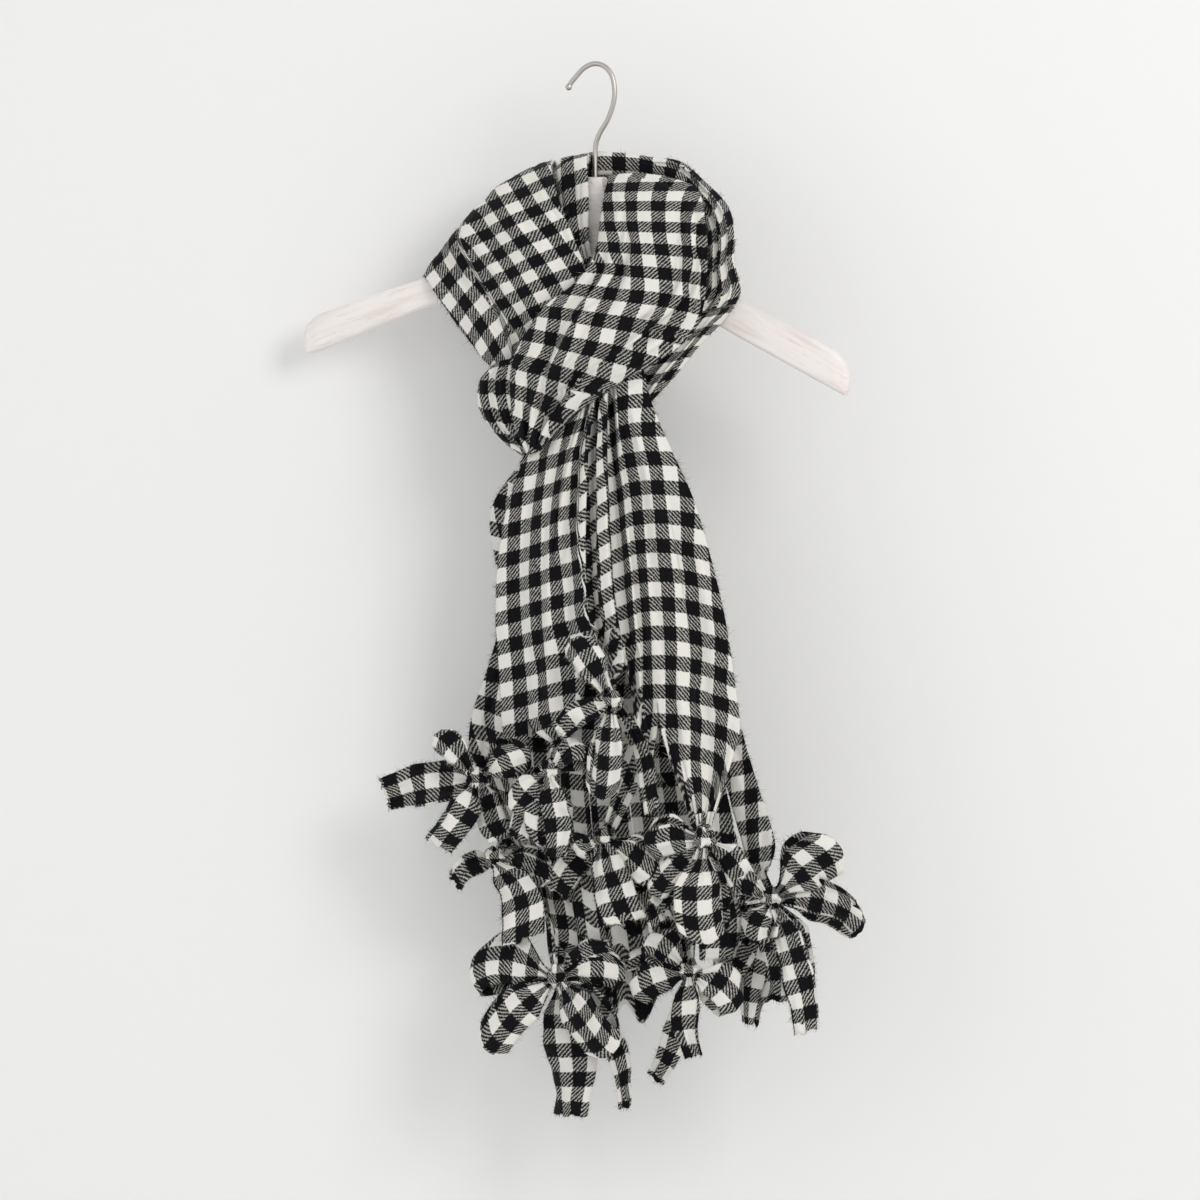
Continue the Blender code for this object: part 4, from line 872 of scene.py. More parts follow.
def knot_edge(nearest):
    """How far a strip starts from its knot's middle, at a depth from that middle."""
    level = min(nearest / (KNOT_RADIUS * KNOT_SQUASH), KNOT_STEEPEST)
    return KNOT_RADIUS * math.sqrt(1.0 - level * level) + KNOT_CLEARANCE - ROOT_UNDER_KNOT


def open_width(full, along):
    """A strip's width: gathered at its knot, and open further out."""
    return PINCHED_WIDTH + max(full - PINCHED_WIDTH, 0.0) * ease(along)


def strip_points(along, ahead, height, side, w, widths, cup, back, twist, curl):
    """Points of a strip on its path, twisted about it, cupped, curled at one edge each way."""
    reach = w * widths[:, None] / 2.0
    flat = reach * np.cos(twist)[:, None]
    x = along[:, None] + side[0] * flat - side[1] * back
    z = height[:, None] + side[1] * flat + side[0] * back
    rolled = np.where(w > 0.0, curl[0], curl[1]) * np.abs(w) ** 3
    y = -ahead[:, None] + reach * np.sin(twist)[:, None] + (cup * w * w + rolled) * widths[:, None]
    return np.stack([x, y, z], axis=-1)


def gathered(points, w, amount, seed):
    """The strip with gathers that run along it, as deep as the amount at each line."""
    ridges = np.cos(w * (GATHER_TURNS + GATHER_SPREAD * math.sin(seed)) * math.pi + seed)
    depth = ridges * amount[:, None]
    return points - normals_of(points) * depth[..., None]


def fluttered(points, w, layout, seed, amount):
    """The strip with soft waves, larger towards its raw edges."""
    edges = CALM_MIDDLE + (1.0 - CALM_MIDDLE) * np.abs(w)
    waves = rumple(layout, seed, *STRIP_WAVE) * edges
    waves = waves + rumple(layout, seed + STRIP_WAVE_STEP, *STRIP_FINE_WAVE) * STRIP_FINE_SHARE
    return points - normals_of(points) * (waves * amount[:, None])[..., None]


def strip_seed(bow, strip):
    """A number of its own for each strip, for its waves."""
    return float(sum(ord(letter) for letter in bow.name + strip.name) % 97) * 0.37


def edge_curls(seed, amount):
    """How much a strip's two edges curl, each its own way."""
    return amount * math.sin(seed * 7.0), amount * math.cos(seed * 4.0)


def full_width_layout(points, width):
    """The layout of a strip whose whole width is in its gathers."""
    layout = arc_layout(points, (0.5, 0.5))
    columns = points.shape[1]
    layout[..., 0] = np.linspace(-0.5, 0.5, columns)[None, :] * width
    layout[..., 1] = layout[:, columns // 2, 1][:, None]
    return layout


def soft_strip(points, w, seed, width, gathers, flutter):
    """A strip with its gathers and its waves, and its layout."""
    layout = arc_layout(points, (0.5, 0.5))
    points = gathered(points, w, gathers, seed)
    points = fluttered(points, w, layout, seed, flutter)
    return points, full_width_layout(points, width)


def loop_grid(bow, loop):
    """A bow's loop: out in front, round its tip, and back behind, gathered at the knot."""
    centre, length, heading, side = strip_frame(bow, loop)
    start = knot_edge(max(abs(loop.layer) - LAYER_GAP, 0.0))
    t = np.linspace(0.0, 1.0, LOOP_LINES + 1)
    w = np.linspace(-1.0, 1.0, LOOP_COLUMNS + 1)[None, :]
    seed = strip_seed(bow, loop)
    swell = np.sin(np.pi * t)
    out_share = (1.0 - np.cos(TAU * t)) / 2.0
    reach = start + (length - start) * out_share
    level = bow.ahead + loop.layer
    settled = ease(out_share / SETTLE_SHARE)
    base = level + (loop.ahead - level) * settled
    plies = (LAYER_GAP - LOOP_PLY_INSET) * np.cos(np.pi * t)
    ahead = base + loop.puff * np.sin(TAU * t) * swell + plies
    widths = open_width(loop.width, out_share / LOOP_OPEN_SHARE)
    back = LOOP_TIP_ROUND * loop.width * (swell ** LOOP_TIP_POWER)[:, None] * w * w
    lean = LAYER_SPLAY * np.sin(TAU * t) * swell * math.sin(seed * 5.0)
    arched = SAG_SHARE * length * abs(heading[0]) * np.sin(np.pi * out_share)
    along = centre[0] + heading[0] * reach + side[0] * lean
    height = centre[2] + heading[1] * reach + side[1] * lean + arched
    cup = LOOP_CUP + LOOP_TIP_CUP * (swell ** 2)[:, None] * np.cos(np.pi * t)[:, None]
    twist = LOOP_TWIST * math.sin(seed * 3.0) * settled
    curl = edge_curls(seed, LOOP_CURL)
    points = strip_points(along, ahead, height, side, w, widths, cup, back, twist, curl)
    gathers = STRIP_GATHER - LOOP_GATHER_LOSS * settled
    loose = ease(out_share / 0.35) * (1.0 - 0.8 * ease((out_share - 0.7) / 0.3))
    return soft_strip(points, w, seed, loop.width, gathers, LOOP_FLUTTER * loose)


def tail_grid(bow, tail):
    """A strip's free end, from the knot to its ragged tip."""
    centre, length, heading, side = strip_frame(bow, tail)
    start = knot_edge(tail.layer - TAIL_INSET if tail.layer > 0.0 else -tail.layer)
    t = np.linspace(0.0, 1.0, TAIL_LINES + 1)
    w = np.linspace(-1.0, 1.0, TAIL_COLUMNS + 1)[None, :]
    seed = strip_seed(bow, tail)
    reach = start + (length - start) * t
    bend = tail.bend * np.sin(np.pi * t)
    level = bow.ahead + tail.layer
    settled = ease(t / SETTLE_SHARE)
    ahead = level + (tail.ahead - level) * settled
    ahead = ahead + TAIL_WANDER * np.sin(TAU * (t * 1.2 + seed)) * settled
    along = centre[0] + heading[0] * reach + side[0] * bend
    height = centre[2] + heading[1] * reach + side[1] * bend
    narrow = 1.0 - (1.0 - tail.taper) * ease((t - TAPER_START) / (1.0 - TAPER_START))
    widths = open_width(tail.width, t / TAIL_OPEN_SHARE) * narrow
    ragged = np.array([noise.noise(Vector((x * RAGGED_PITCH, seed, 0.0))) for x in w[0]])
    back = RAGGED_DEPTH * ragged[None, :] * ease((t - 0.75) / 0.25)[:, None]
    opened = ease((t - 0.3) / 0.7)[:, None]
    cup = TAIL_CUP + TAIL_TIP_CUP * opened * (-1.0) ** int(seed * 3.0)
    twist = TAIL_TWIST * math.sin(seed * 3.0) * np.sin(TAU * (0.15 + 0.6 * t)) * ease(t / 0.4)
    curl = edge_curls(seed, TAIL_CURL)
    points = strip_points(along, ahead, height, side, w, widths, cup, back, twist, curl)
    gathers = STRIP_GATHER - TAIL_GATHER_LOSS * ease(t / 0.45)
    return soft_strip(points, w, seed, tail.width, gathers, TAIL_FLUTTER * ease(t / 0.3))


def grid_at(grid, u, v):
    """Places on a grid, at shares of its width and length."""
    lines, columns = grid.shape[:2]
    i = np.clip(v * (lines - 1), 0.0, lines - 1.001)
    j = np.clip(u * (columns - 1), 0.0, columns - 1.001)
    row, column = i.astype(int), j.astype(int)
    down = (i - row)[..., None]
    over = (j - column)[..., None]
    upper = grid[row, column] * (1 - over) + grid[row, column + 1] * over
    lower = grid[row + 1, column] * (1 - over) + grid[row + 1, column + 1] * over
    return upper * (1 - down) + lower * down


def lead_grid(bow, strips, points, normals):
    """The gathered strip from a hem to a knot: it lies on the hem's cloth and narrows."""
    w = np.linspace(-0.5, 0.5, LEAD_COLUMNS + 1)
    strip = next(entry for entry in strips if entry.left <= bow.place < entry.right)
    inset = LEAD_INSET * (strip.right - strip.left)
    lying = []
    for v in np.linspace(1.0 - LEAD_LAP, 1.0, LEAD_LAP_LINES):
        u = np.linspace(strip.left + inset, min(strip.right, 1.0) - inset, LEAD_COLUMNS + 1)
        place = grid_at(points, u, np.full_like(u, v))
        out = grid_at(normals, u, np.full_like(u, v))
        lying.append(place + out * LEAD_LIFT)
    lying = np.array(lying)
    middle = lying[-1][LEAD_COLUMNS // 2]
    centre = seen(bow.across, bow.ahead, bow.height)
    away = np.array([middle[0] - centre[0], 0.0, middle[2] - centre[2]])
    away = away / np.linalg.norm(away)
    end = centre + away * knot_edge(-REAR_TAIL_LAYER) + np.array([0.0, -REAR_TAIL_LAYER, 0.0])
    across = np.array([-away[2], 0.0, away[0]])
    across = across * (1.0 if across[0] > 0.0 else -1.0)
    last = end + across * (w * PINCHED_WIDTH)[:, None]
    t = np.linspace(0.0, 1.0, LEAD_FREE_LINES)[1:, None, None]
    free = lying[-1][None] * (1 - t) + last[None] * t
    free[..., 1] -= LEAD_BELLY * np.sin(np.pi * t[..., 0])
    grid = np.concatenate([lying, free])
    share = np.linspace(0.0, 1.0, len(grid))
    seed = bow.across * 0.05
    grid = gathered(grid, 2.0 * w[None, :], LEAD_GATHER * ease((share - 0.2) / 0.5), seed)
    width = np.ptp(arc_layout(grid, (0.5, 0.5))[..., 0], axis=1).mean()
    return grid, full_width_layout(grid, width)


def knot_object(bow, look, period):
    """The tight knot of a bow: a lump of pressed folds with a wrap across it."""
    centre = seen(bow.across, bow.ahead, bow.height)
    seed = abs(bow.across) * 0.13
    lift = np.linspace(-0.5, 0.5, KNOT_RINGS)[:, None] * math.pi
    angle = np.linspace(0.0, TAU, KNOT_SIDES, endpoint=False)[None, :]
    tilt = KNOT_TILT * math.sin(seed * 2.3)
    x = np.cos(lift) * np.cos(angle)
    y = np.cos(lift) * np.sin(angle) * KNOT_SQUASH
    z = np.sin(lift) * np.ones_like(angle)
    turned = x * math.sin(tilt) + z * math.cos(tilt)
    folds = KNOT_FOLD * np.cos(turned * 8.5 + seed) + KNOT_SLANT * np.cos(x * 7.0 - turned * 4.0 + seed)
    folds = folds + KNOT_FOLD * np.cos(y * 6.0 + z * 3.0 + seed * 2.0) * np.cos(x * 3.0 + seed)
    size = KNOT_RADIUS * (KNOT_FULLNESS + folds)
    points = np.stack([x * size, y * size, z * size], axis=-1).reshape(-1, 3) + centre
    checks = np.stack(np.broadcast_arrays(angle, lift), axis=-1)
    checks = checks.reshape(-1, 2) * KNOT_RADIUS * KNOT_CHECKS / period + seed
    faces = grid_faces(KNOT_RINGS, KNOT_SIDES, closed=True)
    return mesh_object(f"{bow.name}_knot", points, faces, checks, look)


def fibre_tufts(name, roots, ways, lengths, checks):
    """Loose fibres as fine closed spikes, joined into one mesh, each of its root's colour."""
    count = len(roots)
    ways = ways / np.linalg.norm(ways, axis=1, keepdims=True)
    steep = np.abs(ways[:, 2:3]) >= 0.8
    helper = np.where(steep, np.array([[1.0, 0.0, 0.0]]), np.array([[0.0, 0.0, 1.0]]))
    side = np.cross(ways, helper)
    side = side / np.linalg.norm(side, axis=1, keepdims=True)
    other = np.cross(ways, side)
    corners = []
    for k in range(3):
        angle = TAU * k / 3.0
        corners.append(roots + (side * math.cos(angle) + other * math.sin(angle)) * NAP_RADIUS)
    corners.append(roots + ways * lengths[:, None])
    points = np.stack(corners, axis=1).reshape(-1, 3)
    base = (np.arange(count) * 4)[:, None]
    pattern = np.array([(0, 1, 3), (1, 2, 3), (2, 0, 3), (0, 2, 1)])
    faces = (base[:, None, :] + pattern[None]).reshape(-1, 3).tolist()
    thing = mesh_object(name, points, faces, np.repeat(checks, 4, axis=0), flannel())
    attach(thing, "root")
    return thing


def nap_roots(points, layout, period, per_area, rng, both_sides, slits=None):
    """Places all over a cloth where its nap stands, evenly by area, with ways out of it."""
    over = points[:-1, 1:] - points[:-1, :-1]
    down = points[1:, :-1] - points[:-1, :-1]
    area = np.linalg.norm(np.cross(over, down), axis=-1)
    if slits is not None:
        area[slits] = 0.0
    area = area.ravel()
    count = int(area.sum() / per_area)
    cell = rng.choice(len(area), size=count, p=area / area.sum())
    i, j = np.divmod(cell, over.shape[1])
    a, b = rng.random((2, count))
    roots = points[i, j] + over[i, j] * a[:, None] + down[i, j] * b[:, None]
    checks = layout[i, j] / period
    ways = normals_of(points)[i, j]
    if both_sides:
        turned = rng.random(count) < 0.5
        ways = np.where(turned[:, None], -ways, ways)
    ways = ways + rng.normal(0.0, NAP_SPREAD, (count, 3))
    return roots, ways, checks


def edge_roots(points, layout, period, spacing, rng, which, slits=None):
    """Places along a cloth's raw edges where threads fray, with ways off the edge."""
    runs = []
    if "sides" in which:
        runs.append((points[:, 0], points[:, 1], layout[:, 0]))
        runs.append((points[:, -1], points[:, -2], layout[:, -1]))
    if "end" in which:
        runs.append((points[-1], points[-2], layout[-1]))
    if slits is not None:
        for column in np.flatnonzero(slits.any(axis=0)):
            first = int(np.argmax(slits[:, column]))
            for side, inner in ((column, column - 1), (column + 1, column + 2)):
                runs.append((points[first:, side], points[first:, inner], layout[first:, side]))
    roots, ways, checks = [], [], []
    for edge, inside, flat in runs:
        steps = np.linalg.norm(np.diff(edge, axis=0), axis=1)
        count = max(int(steps.sum() / spacing), 1)
        cell = rng.choice(len(steps), size=count, p=steps / steps.sum())
        share = rng.random(count)[:, None]
        roots.append(edge[cell] * (1 - share) + edge[cell + 1] * share)
        out = edge[cell] - inside[cell]
        out = out / np.maximum(np.linalg.norm(out, axis=1, keepdims=True), 1e-6)
        ways.append(out + rng.normal(0.0, FRAY_SPREAD, (count, 3)))
        checks.append(flat[cell] / period)
    return np.concatenate(roots), np.concatenate(ways), np.concatenate(checks)


def node(tree, kind, values=None, **settings):
    """A shader node with its settings, and its inputs set or linked."""
    made = tree.nodes.new("ShaderNode" + kind)
    for key, value in settings.items():
        setattr(made, key, value)
    for key, value in (values or {}).items():
        socket = made.inputs[key]
        if isinstance(value, bpy.types.NodeSocket):
            tree.links.new(value, socket)
        else:
            socket.default_value = value
    return made


def maths(tree, operation, first, second=0.0):
    """The output of a sum on one or two values."""
    return node(tree, "Math", {0: first, 1: second}, operation=operation).outputs[0]


def smooth_step(tree, value, low, high, out_low=0.0, out_high=1.0):
    """The value carried from one range to another, smoothly."""
    made = node(
        tree, "MapRange",
        {"Value": value, "From Min": low, "From Max": high, "To Min": out_low, "To Max": out_high},
        interpolation_type="SMOOTHSTEP",
    )
    return made.outputs["Result"]


def blended(tree, share, first, second):
    """A colour between two, by a share."""
    made = node(tree, "Mix", {0: share, 6: (*first, 1.0), 7: (*second, 1.0)}, data_type="RGBA")
    return made.outputs[2]


def noise_pattern(tree, place, scale, detail, roughness):
    """A noise pattern over a surface."""
    values = {"Vector": place, "Scale": scale, "Detail": detail, "Roughness": roughness}
    return node(tree, "TexNoise", values).outputs


def raise_surface(tree, shader, height, strength, depth):
    """Gives a surface its fine relief, of a depth in millimetres, from a pattern of heights."""
    bump = node(tree, "Bump", {"Height": height, "Strength": strength, "Distance": depth * MM})
    tree.links.new(bump.outputs["Normal"], shader.inputs["Normal"])


def new_material(name, roughness):
    """A material with its tree and its Principled shader."""
    made = bpy.data.materials.get(name)
    if made:
        bpy.data.materials.remove(made)
    made = bpy.data.materials.new(name)
    made.use_nodes = True
    shader = made.node_tree.nodes["Principled BSDF"]
    shader.inputs["Roughness"].default_value = roughness
    return made, made.node_tree, shader


def flannel_material(black, ivory, period):
    """Brushed gingham: checks of two yarns in a fine twill, with soft fuzzy edges."""
    made, tree, shader = new_material("brushed_gingham", 0.92)
    lay = node(tree, "UVMap", uv_map="weave").outputs["UV"]
    fuzz = noise_pattern(tree, lay, period / FUZZ_SIZE, 2.0, 0.6)["Color"]
    centred = node(
        tree, "VectorMath", {0: fuzz, 1: (0.5, 0.5, 0.5)}, operation="SUBTRACT"
    ).outputs[0]
    shifted = node(
        tree, "VectorMath", {0: centred, 1: (FUZZ_SHIFT / period,) * 3, 2: lay}, operation="MULTIPLY_ADD"
    ).outputs[0]
    split = node(tree, "SeparateXYZ", {"Vector": shifted})
    across, along = split.outputs["X"], split.outputs["Y"]
    stripes = []
    for value in (across, along):
        folded = maths(tree, "PINGPONG", value, 0.5)
        soft = STRIPE_SOFTNESS / period
        stripes.append(smooth_step(tree, folded, CHECK_EDGE - soft, CHECK_EDGE + soft))
    diagonal = maths(tree, "MULTIPLY", maths(tree, "ADD", across, along), period / TWILL_PITCH)
    raised = smooth_step(tree, maths(tree, "PINGPONG", diagonal, 0.5), 0.22, 0.42)
    both = maths(tree, "MULTIPLY", stripes[0], stripes[1])
    mixed = maths(tree, "SUBTRACT", maths(tree, "MAXIMUM", stripes[0], stripes[1]), both)
    # The dark and light yarn lines of the twill in the mixed checks. The light lines are dimmed with
    # painted shade between the raised dark yarns.
    lines = smooth_step(tree, raised, 0.0, 1.0, TWILL_DARK, TWILL_LIGHT_WITH_PAINTED_SHADE)
    woven = node(tree, "Math", {0: mixed, 1: lines, 2: both}, operation="MULTIPLY_ADD").outputs[0]
    hairs = noise_pattern(tree, lay, period / HAIR_SIZE, 3.0, 0.7)["Fac"]
    napped = smooth_step(tree, hairs, 0.55, 0.80, 0.0, NAP_LIGHTENS)
    worn = smooth_step(tree, hairs, 0.24, 0.46, WEAR_DARKENS, 0.0)
    lighter = maths(tree, "ADD", woven, napped)
    share = node(
        tree, "Math", {0: lighter, 1: worn}, operation="SUBTRACT", use_clamp=True
    ).outputs[0]
    tree.links.new(blended(tree, share, black, ivory), shader.inputs["Base Color"])
    crinkle = noise_pattern(tree, lay, period / CRINKLE_SIZE, 2.0, 0.5)["Fac"]
    reliefs = [(raised, TWILL_RELIEF), (hairs, HAIR_RELIEF), (crinkle, CRINKLE_RELIEF)]
    first, second, third = (maths(tree, "MULTIPLY", value, relief) for value, relief in reliefs)
    height = maths(tree, "ADD", maths(tree, "ADD", first, second), third)
    raise_surface(tree, shader, height, BUMP_STRENGTH, BUMP_DEPTH)
    shader.inputs["Sheen Weight"].default_value = 0.02
    shader.inputs["Sheen Roughness"].default_value = 0.6
    shader.inputs["Specular IOR Level"].default_value = 0.1
    return made


def washed_wood_material(colour, grain_colour):
    """White-washed wood: a thin paint with the grain showing through it."""
    made, tree, shader = new_material("wash_over_grain", 0.55)
    lay = node(tree, "UVMap", uv_map="weave").outputs["UV"]
    drawn = node(tree, "Mapping", {"Vector": lay, "Scale": WOOD_STRETCH}).outputs["Vector"]
    grain = noise_pattern(tree, drawn, 0.9, 5.0, 0.65)["Fac"]
    pores = noise_pattern(tree, drawn, 3.4, 3.0, 0.6)["Fac"]
    streak = smooth_step(tree, grain, 0.42, 0.72, 0.0, 0.55)
    pitted = smooth_step(tree, pores, 0.58, 0.74, 0.0, 0.5)
    share = node(tree, "Math", {0: streak, 1: pitted}, operation="ADD", use_clamp=True).outputs[0]
    tree.links.new(blended(tree, share, colour, grain_colour), shader.inputs["Base Color"])
    rough = smooth_step(tree, grain, 0.3, 0.7, 0.48, 0.66)
    tree.links.new(rough, shader.inputs["Roughness"])
    raise_surface(tree, shader, pores, 0.35, 0.3)
    return made


def nickel_material(colour):
    """Satin nickel wire, brushed along its length."""
    made, tree, shader = new_material("satin_nickel", 0.32)
    lay = node(tree, "UVMap", uv_map="weave").outputs["UV"]
    drawn = node(tree, "Mapping", {"Vector": lay, "Scale": BRUSH_STRETCH}).outputs["Vector"]
    brushed = noise_pattern(tree, drawn, 2.0, 3.0, 0.6)["Fac"]
    duller = [0.82 * part for part in colour]
    tree.links.new(blended(tree, brushed, duller, colour), shader.inputs["Base Color"])
    tree.links.new(smooth_step(tree, brushed, 0.3, 0.7, 0.26, 0.42), shader.inputs["Roughness"])
    raise_surface(tree, shader, brushed, 0.2, 0.1)
    shader.inputs["Metallic"].default_value = 1.0
    return made


def wall_material(colour):
    """Pale paint, seen from its front and clear from behind."""
    made, tree, shader = new_material("pale_wall", 0.95)
    shader.inputs["Base Color"].default_value = (*colour, 1.0)
    shader.inputs["Specular IOR Level"].default_value = 0.0
    behind = node(tree, "NewGeometry").outputs["Backfacing"]
    clear = node(tree, "BsdfTransparent").outputs["BSDF"]
    either = node(tree, "MixShader", {0: behind, 1: shader.outputs["BSDF"], 2: clear}).outputs["Shader"]
    tree.links.new(either, tree.nodes["Material Output"].inputs["Surface"])
    return made


def floor_material(colour):
    """A plain pale floor."""
    made, tree, shader = new_material("pale_floor", 0.9)
    shader.inputs["Base Color"].default_value = (*colour, 1.0)
    return made


def bar_object(look):
    """The wooden bar with its neck, in fine sections, with its grain along its arms."""
    table = np.array(BAR, dtype=float)
    places = np.concatenate([
        np.linspace(a, b, BAR_STEPS, endpoint=False) for a, b in zip(table[:-1, 0], table[1:, 0])
    ] + [table[-1:, 0]])
    top, bottom, thick = (np.interp(places, table[:, 0], table[:, k]) for k in (1, 2, 3))
    points = []
    grain = []
    corners = [(1, 1, 0.0), (-1, 1, 90.0), (-1, -1, 180.0), (1, -1, 270.0)]
    for k, across in enumerate(places):
        half_thick = thick[k] / 2.0
        half_high = (top[k] - bottom[k]) / 2.0
        middle = (top[k] + bottom[k]) / 2.0
        radius = min(half_thick, half_high) * BAR_ROUNDING
        for side, up, turn in corners:
            for angle in np.radians(turn + np.linspace(0.0, 90.0, BAR_CORNER_POINTS)):
                ahead = side * (half_thick - radius) + radius * math.cos(angle)
                height = middle + up * (half_high - radius) + radius * math.sin(angle)
                place = seen(across, 0.0, height)
                points.append(place - np.array([0.0, ahead, 0.0]))
                grain.append((across / GRAIN_UNIT, (height - middle + ahead * 0.6) / GRAIN_UNIT))
    around = 4 * BAR_CORNER_POINTS
    faces = grid_faces(len(places), around, closed=True)
    faces.append(tuple(range(around)))
    faces.append(tuple(reversed(range(len(points) - around, len(points)))))
    thing = mesh_object("hanger_wood", np.array(points), faces, np.array(grain), look)
    thing.data.set_sharp_from_angle(angle=BAR_SHARP_ANGLE)
    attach(thing, "root")
    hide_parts("hanger_bar")
    return thing


def hook_object(look):
    """The bent nickel hook, with a ball at its tip and its shank in the bar's neck."""
    curve = read_table(HOOK, np.linspace(0.0, 1.0, HOOK_STEPS + 1))
    shank_foot = NECK_TOP - SOCKET_DEPTH + SHANK_CLEARANCE
    shank = [(SHANK_ACROSS, height) for height in np.linspace(SHANK_TOP, shank_foot, SHANK_STEPS)]
    flat = np.concatenate([curve, shank])
    path = seen(flat[:, 0], np.zeros(len(flat)), flat[:, 1])
    run = np.concatenate([[0.0], np.cumsum(np.linalg.norm(np.diff(path, axis=0), axis=1))])
    tip_steps = np.linspace(0.02, 2.0 * WIRE_TIP_RADIUS, TIP_STEPS)
    places = np.concatenate([tip_steps, run[run > tip_steps[-1] + 0.3]])
    path = np.stack([np.interp(places, run, path[:, k]) for k in range(3)], axis=-1)
    ball = np.sqrt(np.maximum(WIRE_TIP_RADIUS ** 2 - (places - WIRE_TIP_RADIUS) ** 2, 0.01))
    radii = np.where(places < TIP_REACH * WIRE_TIP_RADIUS, ball, WIRE_RADIUS)
    tangent = np.gradient(path, axis=0)
    tangent /= np.linalg.norm(tangent, axis=1, keepdims=True)
    level = np.array([0.0, 1.0, 0.0])
    upright = np.cross(tangent, level)
    upright /= np.linalg.norm(upright, axis=1, keepdims=True)
    angle = np.linspace(0.0, TAU, WIRE_SIDES, endpoint=False)
    turn = angle[None, :, None]
    ring = level * np.cos(turn) + upright[:, None] * np.sin(turn)
    points = path[:, None] + ring * radii[:, None, None]
    checks = np.stack(np.broadcast_arrays(places[:, None] / GRAIN_UNIT, angle[None] / TAU * 1.2), axis=-1)
    faces = grid_faces(len(path), WIRE_SIDES, closed=True)
    faces = [tuple(reversed(face)) for face in faces]
    count = len(path) * WIRE_SIDES
    faces.append(tuple(range(WIRE_SIDES)))
    faces.append(tuple(reversed(range(count - WIRE_SIDES, count))))
    thing = mesh_object("hanger_wire", points.reshape(-1, 3), faces, checks.reshape(-1, 2), look)
    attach(thing, "root")
    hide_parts("hanger_hook")
    return thing


def stage_plane(name, centre, right, up, size, look):
    """A large flat square of the stage, facing right cross up."""
    half = size / 2.0
    corners = [centre + right * x * half + up * y * half for x, y in ((-1, -1), (1, -1), (1, 1), (-1, 1))]
    mesh = bpy.data.meshes.new(name)
    mesh.from_pydata([tuple(corner) for corner in corners], [], [(0, 1, 2, 3)])
    mesh.materials.append(look)
    thing = bpy.data.objects.new(name, mesh)
    bpy.context.scene.collection.objects.link(thing)
    return thing


def soft_light(name, place, target, size, power, colour):
    """A large soft light at a place, turned to its target."""
    data = bpy.data.lights.new(name, "AREA")
    data.shape = "SQUARE"
    data.size = size
    data.energy = power
    data.color = colour
    thing = bpy.data.objects.new(name, data)
    thing.location = place
    thing.rotation_euler = (target - place).to_track_quat("-Z", "Y").to_euler()
    bpy.context.scene.collection.objects.link(thing)
    return thing


def view_axes():
    """The ways right and towards the camera, as the photograph sees the hanger."""
    right = Vector((math.cos(VIEW_TURN), math.sin(VIEW_TURN), 0.0))
    towards = Vector((math.sin(VIEW_TURN), -math.cos(VIEW_TURN), 0.0))
    return right, towards


class StoleClothSettings(bpy.types.PropertyGroup):
    """The flannel: its checks, colours, thickness and folds."""

    check_period: bpy.props.FloatProperty(
        name="Check period", description="Width of one dark and one light check together",
        default=0.0231, min=0.005, max=0.1, unit="LENGTH", subtype="DISTANCE")
    thickness: bpy.props.FloatProperty(
        name="Cloth thickness", description="Thickness of the brushed cloth",
        default=0.0009, min=0.0003, max=0.0018, unit="LENGTH", subtype="DISTANCE")
    crease_strength: bpy.props.FloatProperty(
        name="Crease strength", description="How deep the creases are, for those of the real stole",
        default=1.0, min=0.0, max=2.0, subtype="FACTOR")
    nap_length: bpy.props.FloatProperty(
        name="Nap length", description="Mean length of the brushed fibres",
        default=0.0011, min=0.0, max=0.004, unit="LENGTH", subtype="DISTANCE")
    fray_length: bpy.props.FloatProperty(
        name="Fray length", description="Mean length of the threads that fray from the raw edges",
        default=0.0026, min=0.0, max=0.01, unit="LENGTH", subtype="DISTANCE")
    black: bpy.props.FloatVectorProperty(
        name="Dark yarn", description="Colour of the black yarn",
        default=(0.004, 0.004, 0.0055), size=3, min=0.0, max=1.0, subtype="COLOR")
    ivory: bpy.props.FloatVectorProperty(
        name="Light yarn", description="Colour of the ivory yarn",
        default=(0.80, 0.785, 0.73), size=3, min=0.0, max=1.0, subtype="COLOR")


class StoleHangerSettings(bpy.types.PropertyGroup):
    """The hanger's finishes."""

    wood: bpy.props.FloatVectorProperty(
        name="Washed wood", description="Colour of the wash on the bar",
        default=(0.875, 0.83, 0.805), size=3, min=0.0, max=1.0, subtype="COLOR")
    grain: bpy.props.FloatVectorProperty(
        name="Grain", description="Colour of the grain that shows through the wash",
        default=(0.68, 0.57, 0.51), size=3, min=0.0, max=1.0, subtype="COLOR")
    nickel: bpy.props.FloatVectorProperty(
        name="Nickel", description="Colour of the hook's plating",
        default=(0.56, 0.53, 0.49), size=3, min=0.0, max=1.0, subtype="COLOR")


class StoleStageSettings(bpy.types.PropertyGroup):
    """The wall, the floor, the camera and the lights."""

    wall: bpy.props.FloatVectorProperty(
        name="Wall", description="Colour of the wall and the floor",
        default=(0.87, 0.87, 0.865), size=3, min=0.0, max=1.0, subtype="COLOR")
    camera_distance: bpy.props.FloatProperty(
        name="Camera distance", description="From the camera to the stole",
        default=6.0, min=0.5, max=10.0, unit="LENGTH", subtype="DISTANCE")
    key_power: bpy.props.FloatProperty(
        name="Key light", description="Power of the large light at the upper right",
        default=23.0, min=0.0, max=1000.0, unit="POWER")
    ambient: bpy.props.FloatProperty(
        name="Ambient light", description="Strength of the even light of the room",
        default=0.74, min=0.0, max=5.0)


def flannel():
    """The stole's one material, made once."""
    cloth = bpy.context.scene.stole_cloth
    found = bpy.data.materials.get("brushed_gingham")
    return found or flannel_material(cloth.black, cloth.ivory, cloth.check_period / MM)


